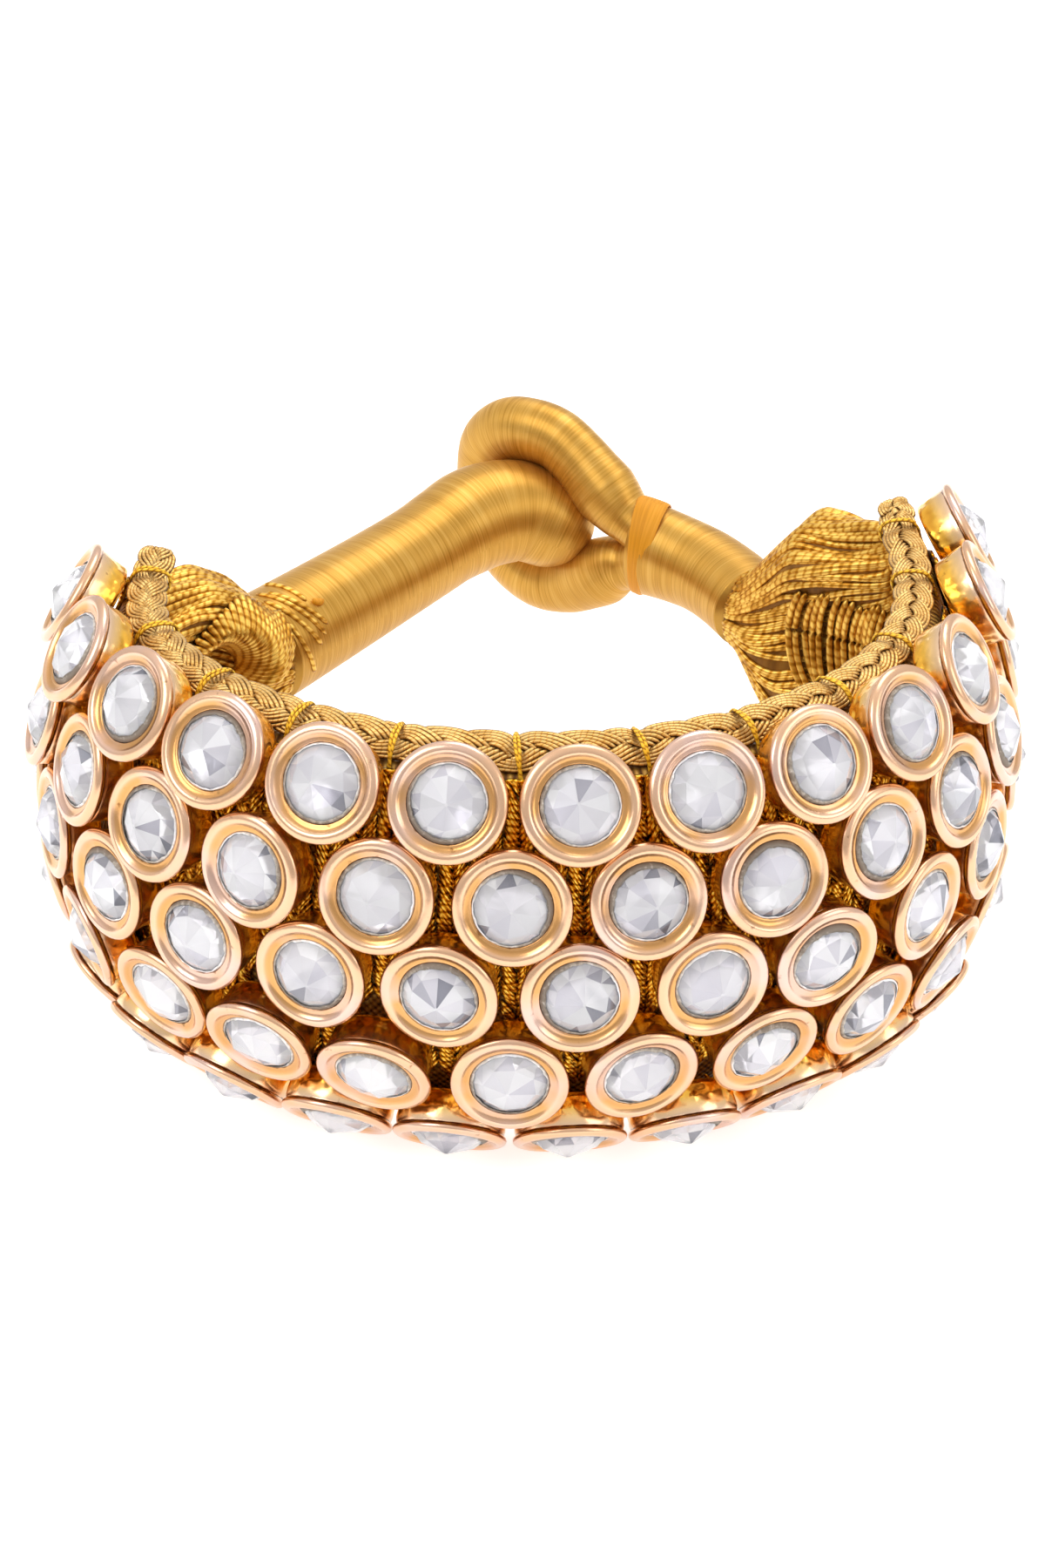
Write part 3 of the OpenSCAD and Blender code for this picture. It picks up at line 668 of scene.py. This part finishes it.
def band_wall():
    """Woven wall: a flat closed cut with round edges, carried along the oval and bowed by the bulge."""
    s = np.arange(BAND_START, BAND_END, BAND_STEP)[:, None]
    z = BAND_TOP * np.sin(np.linspace(-np.pi / 2, np.pi / 2, 31))
    edge = np.clip(np.abs(z) - BAND_TOP + 1, 0, 1)
    round_in = BAND_T / 2 * (1 - np.sqrt(1 - edge ** 2))
    z_ring = np.concatenate([z, z[-2:0:-1]])
    depth = SKIN_IN + np.concatenate([round_in, (BAND_T - round_in)[-2:0:-1]])
    points = inside(s, z_ring, depth)
    around = np.concatenate([z, 2 * BAND_TOP - z[-2:0:-1], [3 * BAND_TOP]])
    return grid_mesh("woven_band", points[None, :, ::-1], spread(s, around)[None, :, ::-1])


# Herringbone: breadth of a lane, radius of a cord, how far apart the cords start, and how far each rises
LANE = 2.5
ZARI_R = 0.21
ZARI_STEP = 0.47
ZARI_RISE = 1.75
# How near to the axis and the back of a cup a cord is hidden
UNDER_CUP = (3.3, 2.5)


def band_cords(rng):
    """Herringbone of short zari cords: each lane has a left and a right column, slanted up to its middle.

    A cord is kept only where some part of it lies outside the backs of the cups.
    """
    lanes = np.arange(BAND_START + 0.8, BAND_END - 0.4, LANE)
    heights = np.arange(-14.3, BAND_TOP, ZARI_STEP)
    lane, side, high = np.meshgrid(lanes, [-1, 1], heights, indexing="ij")
    t = np.linspace(0, 1, 5)
    s = lane[..., None] + side[..., None] * (0.08 + (LANE / 2 - 0.02) * (1 - t))
    z = high[..., None] + ZARI_RISE * t + 0.24 * (side[..., None] > 0)
    z = z + rng.normal(0, 0.08, z.shape[:3])[..., None]
    s = s + rng.normal(0, 0.05, s.shape[:3])[..., None]
    proud = 0.2 + 0.12 * np.sin(np.pi * (0.15 + 0.7 * t)) + rng.uniform(-0.05, 0.09, z.shape[:3])[..., None]
    z = np.clip(z, -BAND_TOP, BAND_TOP)
    curves = inside(s, z, SKIN_IN - proud).reshape(-1, len(t), 3)
    out = plan_out(angle_at(s)).reshape(-1, len(t), 2)
    hidden = np.zeros(curves.shape[:2], bool)
    for origins, turns in SEATS:
        local = np.einsum("nji,cpnj->cpni", turns, curves[:, :, None] - origins)
        near = np.linalg.norm(local[..., :2], axis=-1) < UNDER_CUP[0]
        hidden |= (near & (np.abs(local[..., 2]) < UNDER_CUP[1])).any(-1)
    kept = ~hidden.all(1)
    face = np.concatenate([out, 0 * out[..., :1]], -1)[kept]
    return cords("herringbone_zari", curves[kept], ZARI_R, face, sides=5, up=(0.3, 0.2, 0.05))


dress(band_wall(), TAPE, "zari_band", "backing_band")
dress(band_cords(rng), BAND_ZARI, "zari_band")


# Edge cords
EDGE_START = BAND_START - 1.5
EDGE_END = BAND_END + 1
PLAIT_STEP = 0.25
# Half width and half depth of a strand's swing, and height of the plait's middle over its path
SWING = 0.9
PLAIT_DEEP = 0.24
PLAIT_RISE = 0.34
BORDER_BENT = 0.2
# Cords of a strand: radius, and distance from one to the next, more where the strand crosses the middle
CORD_R = 0.18
CORD_APART = 0.23
CORD_SPREAD = 0.15
# A cord lies on top for this many degrees before and after its highest point, by its place in the strand
OVER_HALF = 60
OVER_SHIFT = 16
# Length of a repeat, by place along the plait
REPEAT = np.array([[-60, 9.5], [-35, 10.5], [0, 12], [35, 11], [66, 9.5]])
# Tilt of the plait's face, by place: outwards at the front, up at the sides, a little inwards at the ends
FACE_TILT = np.array([[0, 52], [22, 60], [42, 82], [60, 98]])
# The ends are rounded off and rise, and the middle dips under a stitch: size and the length it takes
TIP_RUN = 1.3
END_RISE = 1.2
END_RUN = 12
DIP = 0.22
DIP_RUN = 0.9


def edge_frame(s, z, side):
    """Middle of an edge plait at the lengths s, the ways out, off its face and across, and its fullness."""
    out = plan_out(angle_at(s))
    p = plan(angle_at(s)) - EDGE_IN * out
    near = np.minimum(s - EDGE_START, EDGE_END - s)
    tip = np.sqrt(1 - (1 - np.clip(near / TIP_RUN, 0, 1)) ** 2)
    dip = np.exp(-((s[:, None] - STITCHES) / DIP_RUN) ** 2).sum(1)
    high = END_RISE * np.clip(1 - near / END_RUN, 0, 1) ** 2 - DIP * dip
    middle = spread(p[..., 0], p[..., 1], z + side * high)
    out3 = spread(out[..., 0], out[..., 1], 0)
    tilt = np.radians(np.interp(np.abs(s), FACE_TILT[:, 0], FACE_TILT[:, 1]))[:, None]
    face = np.sin(tilt) * side * UP + np.cos(tilt) * out3
    across = np.cross(face, unit(np.gradient(middle, axis=0)))
    return middle, out3, face, across, (0.06 + 0.94 * tip) * (1 - 0.1 * dip)


def over_share(swing, centre, half):
    """One where the beat lies within half of the centre, all in degrees, with a soft step of some 10."""
    off = np.abs((np.degrees(swing) - centre + 180) % 360 - 180)
    return 0.5 - 0.5 * np.tanh((off - half) / 9)


def plait(name, z, side):
    """Three-strand plait: five cords side by side make a ribbon, which swings by a sine across the face.

    The ribbon narrows where it turns at the borders. A cord lies over the other strands from where it
    comes out beside the last one to where it meets the next, and under them for the rest.
    """
    s = np.arange(EDGE_START + 0.05, EDGE_END - 0.05, PLAIT_STEP)
    middle, _, face, across, full = edge_frame(s, z, side)
    beat = np.cumsum(2 * np.pi * PLAIT_STEP / np.interp(s, REPEAT[:, 0], REPEAT[:, 1]))
    curves = []
    for strand in range(3):
        swing = beat + 2 * np.pi * strand / 3
        for cord in (-2, -1, 0, 1, 2):
            apart = CORD_APART + CORD_SPREAD * np.cos(swing) ** 2
            wide = full * (SWING * np.sin(swing) + cord * apart)
            shift = OVER_SHIFT * cord
            over = over_share(swing, 120, OVER_HALF + shift) + over_share(swing, 300, OVER_HALF - shift)
            deep = full * (PLAIT_RISE - BORDER_BENT * wide ** 2 + PLAIT_DEEP * (2 * over - 1))
            curves.append(middle + wide[:, None] * across + deep[:, None] * face)
    return cords(name, np.array(curves), CORD_R, face, sides=6, up=(0.02, 0.01, 1))


def core(name, z, side):
    """Silk core of an edge plait: a plain tube between its two faces."""
    middle = edge_frame(np.arange(BAND_START + 1, BAND_END - 1, 1.0), z, side)[0]
    return winding(name, middle, lambda s: (0.4 + 0 * s, 0.4 + 0 * s), UP, 10, step=1.0)


# Cut through a stitch: outwards and up from the middle of the plait, and share of its slant along
STITCH_CUT = [[-1.25, -0.5, 0], [-1.55, 0.3, 0], [-1.35, 0.9, 0], [-0.7, 1.22, 0], [0.1, 1.27, 0.1],
              [0.85, 1.08, 0.2], [1.4, 0.4, 0.35], [1.68, -0.5, 0.55], [2.15, -1.6, 0.75],
              [2.85, -2.8, 1], [3.0, -3.6, 1.1]]
STITCH_R = 0.13


def stitches(name, z, side):
    """Yellow sewing thread, two turns at each stitch: over the plait, then down to the band."""
    cut = smooth_path(STITCH_CUT, 4)
    middle, out = edge_frame(STITCHES, z, side)[:2]
    run = edge_frame(STITCHES + 0.1, z, side)[0] - edge_frame(STITCHES - 0.1, z, side)[0]
    way = unit(run * np.array([1, 1, 0]))
    slant = 0.8 * np.clip((STITCHES + 10) / 12, -1, 1)
    curves = []
    for k in (-1, 1):
        twist = 0.14 * k * np.cos(np.linspace(0, 7, len(cut)))
        shift = slant[:, None] * cut[:, 2] + twist
        flat = middle[:, None] + cut[:, 0, None] * out[:, None] + shift[..., None] * way[:, None]
        curves.append(flat + (side * cut[:, 1, None] + 0.03 * k) * UP)
    curves = np.concatenate(curves)
    face = curves - np.tile(middle, (2, 1))[:, None]
    return cords(name, curves, STITCH_R, face, sides=6, up=(0.31, 0.22, 0.1))


for end, z, side in (("top", EDGE_Z, 1), ("bottom", -EDGE_Z, -1)):
    dress(plait(f"plait_{end}", z, side), EDGE_ZARI, "zari_cord", f"edge_cord_{end}")
    dress(core(f"plait_core_{end}", z, side), CORE, "zari_cord")
    dress(stitches(f"yellow_stitches_{end}", z, side), STITCH, "binding_thread")


# Closure
BARREL_POINTS = [[-21.4, 14.3, 0], [-14.2, 23.8, 0.1], [-9.2, 30.1, 0.45], [-6.6, 33.2, 0.9],
                 [-3.8, 35.8, 1.3], [-0.6, 37.2, 1.1], [2.2, 37.4, 0], [5.6, 36.9, -1.5]]
# Girth of the barrel: length and diameter, with a waist and a swelling where it bends into the loop
BARREL_GIRTH = smooth_path([[0, BARREL_D, 0], [20, 8.3, 0], [26.5, 9, 0], [30.5, 8.9, 0], [34.5, 8.2, 0]])
ROPE_POINTS = [[18.9, 22.6, 0], [17.2, 26, 0], [15.2, 28.9, 0], [12.9, 31, 0], [10.15, 33.05, 0]]
LOOP_TURN = math.radians(144)
LOOP_DIR = np.array([math.cos(LOOP_TURN), math.sin(LOOP_TURN), 0])
LOOP_BACK = np.cross(LOOP_DIR, UP)
ROPE_END = np.array(ROPE_POINTS[-1])
# Loop, by how far from its foot, how far behind and how high: the two ends lie inside the binding
LOOP_POINTS = [
    [-1, 0, 1.5], [0.4, 0, 2.2], [1.4, 0, 2.7], [2.4, 0, 3.4], [4.4, 0.1, 4.85], [6.6, 0.2, 6.4],
    [9, 0.2, 7.6], [11.6, 0.1, 7.75], [14.4, 0.3, 6.85], [16.7, 0.6, 4.5], [17.5, 1, 0.9],
    [16.9, 0.8, -2.6], [14.4, 0.4, -5.65], [10.8, 0.1, -7], [7.4, 0.1, -6.45], [4.6, 0, -4.8],
    [2.4, 0, -3.1], [1.4, 0, -2.5], [0.4, 0, -2.2], [-1, 0, -1.5]]
BARREL_PATH = smooth_path(BARREL_POINTS)
ROPE_PATH = smooth_path(ROPE_POINTS)
# The loop is drawn in about its middle and widened inwards, so that it hugs the barrel
LOOP_MID = 9.5
SNUG = 0.955
LOOP_PATH = smooth_path([ROPE_END + (LOOP_MID + 0.5 + SNUG * (p[0] - LOOP_MID)) * LOOP_DIR
                         + p[1] * LOOP_BACK + SNUG * p[2] * UP for p in LOOP_POINTS])


def barrel_cut(s):
    """Barrel: round, of the girth table's diameter."""
    r = np.interp(s, BARREL_GIRTH[:, 0], BARREL_GIRTH[:, 1]) / 2
    return r, r


def rope_cut(s):
    """Rope: round for 4 mm, then by the square of the length an upright oval."""
    t = np.clip((s - 4) / (lengths_of(ROPE_PATH)[-1] - 4), 0, 1)
    return ROPE_D / 2 - 0.5 * t ** 2, ROPE_D / 2 + 0.7 * t ** 2


# Radius of the loop where it is tied, and its two swellings: how much, where and over what length
TIED_R = 2.1
FORK_SWELL = (0.28, 4.4, 2.6)
TOP_SWELL = (0.15, 17.5, 5)


def loop_cut(s):
    """Loop: thin where it is tied, full 3.3 mm further on, swollen at the fork and a little at its top."""
    near = np.minimum(s, lengths_of(LOOP_PATH)[-1] - s)
    grown = np.clip((near - 1.6) / 3.3, 0, 1)
    fork, top = (size * np.exp(-((at - centre) / run) ** 2)
                 for at, (size, centre, run) in ((near, FORK_SWELL), (s, TOP_SWELL)))
    r = TIED_R + (LOOP_D / 2 - TIED_R) * grown + fork + top
    return r + 0.33 * grown, r


dress(winding("wound_barrel", BARREL_PATH, barrel_cut, UP, 56, cap=True),
      WOUND, "wound_thread", "toggle_barrel")
dress(winding("wound_rope", ROPE_PATH, rope_cut, UP, 48), WOUND, "wound_thread", "loop_rope")
dress(winding("wound_loop", LOOP_PATH, loop_cut, LOOP_BACK, 40), WOUND, "wound_thread", "closure_loop")


# Half breadth, half height and half thickness of the binding round the end of the rope
BINDING_WIDE = 3.08
BINDING_TALL = 4.28
BINDING_THICK = 0.16


def binding():
    """Yellow binding: thread wound aslant round the end of the rope, broad on top and narrow below.

    Its middle and half breadth follow the cosine and sine of the angle a from the top, round the front,
    and its cut is a flat oval with faint ridges.
    """
    a = turn_by(72)
    t = turn_by(24)[:, None]
    middle = -0.25 - 0.45 * np.cos(a) - 1.05 * np.sin(a)
    half = 1 + 0.5 * np.cos(a) - 0.05 * np.sin(a)
    w = middle + half * np.cos(t)
    ridges = 0.02 * np.sin(9 * w) * (1 + np.sin(5 * a))
    thick = BINDING_THICK * np.sign(np.sin(t)) * np.abs(np.sin(t)) ** 0.7 + ridges
    front = ((BINDING_WIDE + thick) * np.sin(a))[..., None] * -LOOP_BACK
    high = ((BINDING_TALL + thick) * np.cos(a) + 0.1)[..., None] * UP
    points = ROPE_END + w[..., None] * LOOP_DIR + front + high
    across = 1.2 * np.cos(2 * np.pi * np.arange(25) / 24)[:, None]
    uv = spread(across, 6 * np.arange(73) / 72)
    return grid_mesh("yellow_binding", points[None], uv[None], looped=True)


dress(binding(), BINDING, "binding_thread", "loop_binding")


def round_barrel(s, a, lift):
    """Points on the barrel at the lengths s and the angles a from its top round its front."""
    way = heading_at(BARREL_PATH, s)
    front = unit(np.cross(way, UP))
    top = np.cross(front, way)
    r = (barrel_cut(s)[0] + lift)[..., None]
    return at_length(BARREL_PATH, s) + r * (np.cos(a)[..., None] * top + np.sin(a)[..., None] * front)


# Stray strands at the start of the barrel: from and to, as length and angle from the top
STRAYS = [[0.3, 5, 2.6, 78], [0.9, -12, 3.3, 70], [1.5, -5, 3.9, 62], [2.9, -25, 3.3, 30],
          [0.2, 40, 1.6, 105]]
STRAY_R = 0.22


def strays():
    """Stray strands: slanted over the barrel, turned by the share and run by its power 1.3."""
    t = np.linspace(0, 1, 16)
    runs = np.array([a + (b - a) * t ** 1.3 for a, _, b, _ in STRAYS])
    turns = np.radians([c + (d - c) * t for _, c, _, d in STRAYS])
    strands = round_barrel(runs, turns, 0.02)
    return cords("stray_zari_strands", strands, STRAY_R, strands - round_barrel(runs, turns, -4), sides=8)


def thread_end():
    """Orange end of a thread: a flat tube along the barrel, whose half width follows half a sine."""
    t = np.linspace(0, 1, 16)
    path = round_barrel((3.7 + 0.9 * t)[None], np.radians(34 + 6 * t)[None], 0.05)[0]
    return winding("orange_thread_end", path, lambda s: (
        0.4 * np.sin(np.pi * (0.1 + 0.8 * s / s.max())), 0.3 + 0 * s), UP, 12)


dress(strays(), GATHER_ZARI, "zari_cord")
dress(thread_end(), BINDING, "binding_thread")


# Gathers: cuts along each, as share of the length, half height, half thickness, bow and inner fold
GATHER_LEFT = np.array([
    [0, 10.6, 1.4, 1, 0], [0.12, 9.5, 2.4, 0.9, 0.35], [0.3, 8.9, 3.6, 0.7, 0.6],
    [0.5, 9.1, 4.4, 0.4, 0.85], [0.7, 9, 4.9, 0.15, 0.7], [0.87, 7.3, 4.9, 0, 0.15],
    [1, BARREL_D / 2, BARREL_D / 2, 0, 0]])
GATHER_RIGHT = np.array([
    [0, 12.9, 1.4, 1, 0], [0.12, 12.2, 2.6, 0.9, 0.35], [0.3, 11.8, 4, 0.7, 0.55],
    [0.5, 11.2, 4.9, 0.4, 0.6], [0.7, 10.6, 5.2, 0.15, 0.4], [0.87, 6.7, 4.6, 0, 0.1],
    [1, ROPE_D / 2, ROPE_D / 2, 0, 0]])
# Height of the inner fold's middle, and its reach as a share of the half height
FOLD_Z = 1.5
FOLD_REACH = 0.38
PULLED_R = 0.3
LINING_IN = 0.4
# Rough length of a gather, by which the folds' millimetres are made shares
GATHER_LONG = 13


def band_tip(s, past):
    """Point past an end of the band, on the middle of its thickness."""
    q = plan_out(angle_at(s))
    p = plan(angle_at(s)) - (SKIN_IN + BAND_T / 2) * q
    side = 1 if s < 0 else -1
    return [p[0] + side * past * q[1], p[1] - side * past * q[0], 0]


def gather_cuts(path, cuts, side):
    """Cuts of a gather, from a little inside the band to a little inside the barrel or rope."""
    whole = lengths_of(path)[-1]
    v = np.linspace(-0.04, 1.05, 48)
    soft = [0.1, 0.2, 0.4, 0.2, 0.1]
    sizes = [np.convolve(np.pad(np.interp(v, cuts[:, 0], cuts[:, k]), 2, mode="edge"), soft, "valid")
             for k in range(1, 5)]
    beyond = (v - np.clip(v, 0, 1)) * whole
    centre = at_length(path, v * whole) + heading_at(path, v * whole) * beyond[:, None]
    way = heading_at(path, np.clip(v, 0, 1) * whole, 0.8)
    out = side * unit(spread(way[:, 1], -way[:, 0], 0))
    return v, centre, out, sizes


def gathered(cut, a, inset):
    """Points of a gather at the angles a[..., v]: H sin a high and T cos a thick, inset from its skin.

    It is pleated by waves round it, folded in on the inner side and bowed like the band.
    """
    v, centre, out, (h, t, bow, fold) = cut
    ease = np.sin(np.pi * np.clip(v, 0, 1))
    pleat = 1 + ease * (0.05 * np.sin(5 * a + 3 * v) + 0.035 * np.sin(9 * a - 5 * v + 1))
    z = (h - inset) * np.sin(a) * pleat
    tuck = np.where(np.cos(a) < 0, 1 - fold * np.exp(-((z - FOLD_Z) / (FOLD_REACH * h)) ** 2), 1)
    x = (t - inset) * np.cos(a) * tuck * pleat - bow * bulge_in(z)
    return centre + x[..., None] * out + z[..., None] * UP


def laid(cut, v, z, proud):
    """Points over the inner side of a gather, at shares v of its length and heights z, proud of its skin.

    They lie as gathered() gives them, without its pleats: T times the root of one less (z / H) squared.
    """
    grid, centre, out, sizes = cut
    h, t, bow, fold = (np.interp(v, grid, size) for size in sizes)
    c, o = (np.stack([np.interp(v, grid, p[:, k]) for k in range(3)], -1) for p in (centre, out))
    z = np.clip(z, -0.93 * h, 0.93 * h)
    tuck = 1 - fold * np.exp(-((z - FOLD_Z) / (FOLD_REACH * h)) ** 2)
    x = -t * np.sqrt(1 - (z / h) ** 2) * tuck - proud - bow * bulge_in(z)
    return c + x[..., None] * o + z[..., None] * UP


def gather(end, cut, side, count, over, rng):
    """Cords drawn together over a dark lining that stands for the deeper cords in painted shade, each in
    its place round a cut that narrows along the path.

    over gives the bundles that are pulled across them on the inner side: shares, heights and how proud.
    """
    v = cut[0]
    start = 2 * np.pi * (np.arange(count) + rng.uniform(-0.3, 0.3, count)) / count
    a = start[:, None] + 0.5 * v + 0.05 * np.sin(5 * v + rng.uniform(0, 6, (count, 1)))
    cord_r = 0.33 - 0.05 * v
    sunk = 0.14 * (1 + np.sin(7 * v + rng.uniform(0, 6, (count, 1))))
    curves = gathered(cut, a, cord_r + sunk)
    drawn = cords(f"gathered_cords_{end}", curves, cord_r, curves - gathered(cut, a, 3), sides=7)
    dress(drawn, GATHER_ZARI, "zari_cord", f"gather_{end}")
    shares, heights, proud = over
    curves = laid(cut, shares, heights, proud)
    face = curves - laid(cut, shares, heights, proud - 3)
    dress(cords(f"pulled_cords_{end}", curves, PULLED_R, face, sides=7), GATHER_ZARI, "zari_cord")
    # Lining: a dark gold sheet just inside the cords, in place of the deeper cords, so that the gaps
    # between cords show painted shade
    around = -side * 2 * np.pi * np.arange(73)[:, None] / 72 + 0 * v
    skin = gathered(cut, around, LINING_IN).transpose(1, 0, 2)
    uv = spread(9 * v[:, None], np.arange(73) / 4)
    dress(grid_mesh(f"gather_shade_lining_{end}", skin[None, :, :-1], uv[None]), CORE, "zari_cord")


def arch(v0, z0, turn, near, far, ridge):
    """Cords that run from round a pit over a ring-shaped fold: shares, heights and how proud.

    They fan out at the angles turn, from near to far, and are proudest on the ridge by a bell curve.
    """
    phi = np.radians(turn)[:, None]
    rho = np.linspace(near, far, 18)
    shares = v0 + rho * np.cos(phi) / GATHER_LONG
    heights = z0 + rho * np.sin(phi + 0.12 * (rho - near))
    proud = 0.1 + 1.3 * np.exp(-((rho - ridge) / (0.4 * ridge)) ** 2) + 0 * phi
    return shares, heights, proud


def swags(starts, rng):
    """Cords that hang side by side from a crease, bowed by half a sine: shares, heights and how proud."""
    t = np.linspace(0, 1, 22)
    wild = rng.uniform(-1, 1, (len(starts), 1))
    shares = np.array(starts)[:, None] + 0.07 * np.sin(np.pi * t) - 0.1 * t ** 2 + 0.012 * wild
    heights = 5.6 + 0.5 * wild - (9.5 + wild) * t
    return shares, heights, 0.1 + (0.75 + 0.25 * wild) * np.sin(np.pi * t)


def gather_path(s, past, bend, path):
    """Path from an end of the band, over a bend, to just before the start of the barrel or rope."""
    foot = path[0] - 0.15 * heading_at(path, 0.0)
    return smooth_path([band_tip(s, 0.25), band_tip(s, past), bend, foot])


LEFT_PATH = gather_path(BAND_START, 3.5, [-27, 9.9, 0], BARREL_PATH)
RIGHT_PATH = gather_path(BAND_END, 3, [24.4, 18.4, 0], ROPE_PATH)
FOLDS = [arch(0.64, 1.6, np.arange(-30, 215, 6.5), 1.7, 5.6, 3.6),
         arch(0.58, -0.6, np.arange(-10, 190, 14), 0.8, 2.4, 1.5)]
gather("left", gather_cuts(LEFT_PATH, GATHER_LEFT, -1), -1, 106,
       [np.concatenate([f[k] for f in FOLDS]) for k in range(3)], rng)
gather("right", gather_cuts(RIGHT_PATH, GATHER_RIGHT, 1), 1, 130,
       swags(np.arange(0.16, 0.62, 0.03), rng), rng)


# Camera, light and floor
def stand(thing, spot, *axes):
    """Puts a camera or lamp at a spot, with its three axes along those given."""
    thing.matrix_world = Matrix.Translation(spot) @ Matrix(np.stack(axes, 1)).to_4x4()


LOOK_DOWN = math.radians(32.274)
ROLL = math.radians(0.838)
FAR = 247.65
AIM = np.array([0, 0, -3.391])
right = np.array([1.0, 0, 0])
ahead = np.array([0, math.cos(LOOK_DOWN), -math.sin(LOOK_DOWN)])
above = np.cross(right, ahead)
cam_right = math.cos(ROLL) * right + math.sin(ROLL) * above
cam_up = -math.sin(ROLL) * right + math.cos(ROLL) * above
camera = bpy.data.cameras.new("camera")
camera.sensor_fit = "HORIZONTAL"
camera.sensor_width = 36
camera.lens = 109.84
camera.clip_start = 0.01
eye = put("camera", camera)
stand(eye, placed(AIM - FAR * ahead), cam_right, cam_up, -ahead)
scene.camera = eye

# White acrylic sheet, lit from below, so that it shows hardly any shadow
floor_mesh = bpy.data.meshes.new("floor")
edge = [(x, y, -0.0002) for x, y in ((-2, -2), (2, -2), (2, 2), (-2, 2))]
floor_mesh.from_pydata(edge, [], [(0, 1, 2, 3)])
floor_mesh.materials.append(finish("lit_white_acrylic", Roughness=0.9, Base_Color=colour("#D4D4D4"),
                                   Emission_Color=colour("#FFFFFF"), Emission_Strength=0.7)[0])
put("floor", floor_mesh)


def lamp(name, spot, size, power):
    """Square soft light that looks at the middle of the cuff."""
    light = bpy.data.lights.new(name, "AREA")
    light.size = size
    light.energy = power
    back = unit(np.array(spot))
    side = unit(np.cross(UP, back))
    stand(put(name, light), spot, side, np.cross(back, side), back)


def studio():
    """White light tent: bright overhead, a little dimmer low down and behind the camera."""
    world = bpy.data.worlds.new("studio")
    world.use_nodes = True
    scene.world = world
    tree = world.node_tree
    xyz = node(tree, "SeparateXYZ", {0: node(tree, "TexCoord")})
    high = node(tree, "MapRange", {"Value": xyz.outputs["Z"]}, span=(0.0, 0.8, 0.72, 1.05))
    back = node(tree, "MapRange", {"Value": xyz.outputs["Y"]}, span=(-0.9, 0.1, 0.8, 1.0))
    level = node(tree, "Math", {0: high, 1: back}, operation="MULTIPLY")
    feed(tree, tree.nodes["Background"], {"Strength": level, "Color": colour("#FFFFFF")})


lamp("softbox_left", (-0.45, -0.3, 0.55), 0.4, 1.6)
lamp("softbox_top", (0.15, 0.3, 0.7), 0.5, 2)
lamp("fill_right", (0.6, -0.3, 0.35), 0.4, 0.8)
studio()
scene.view_settings.view_transform = "Standard"
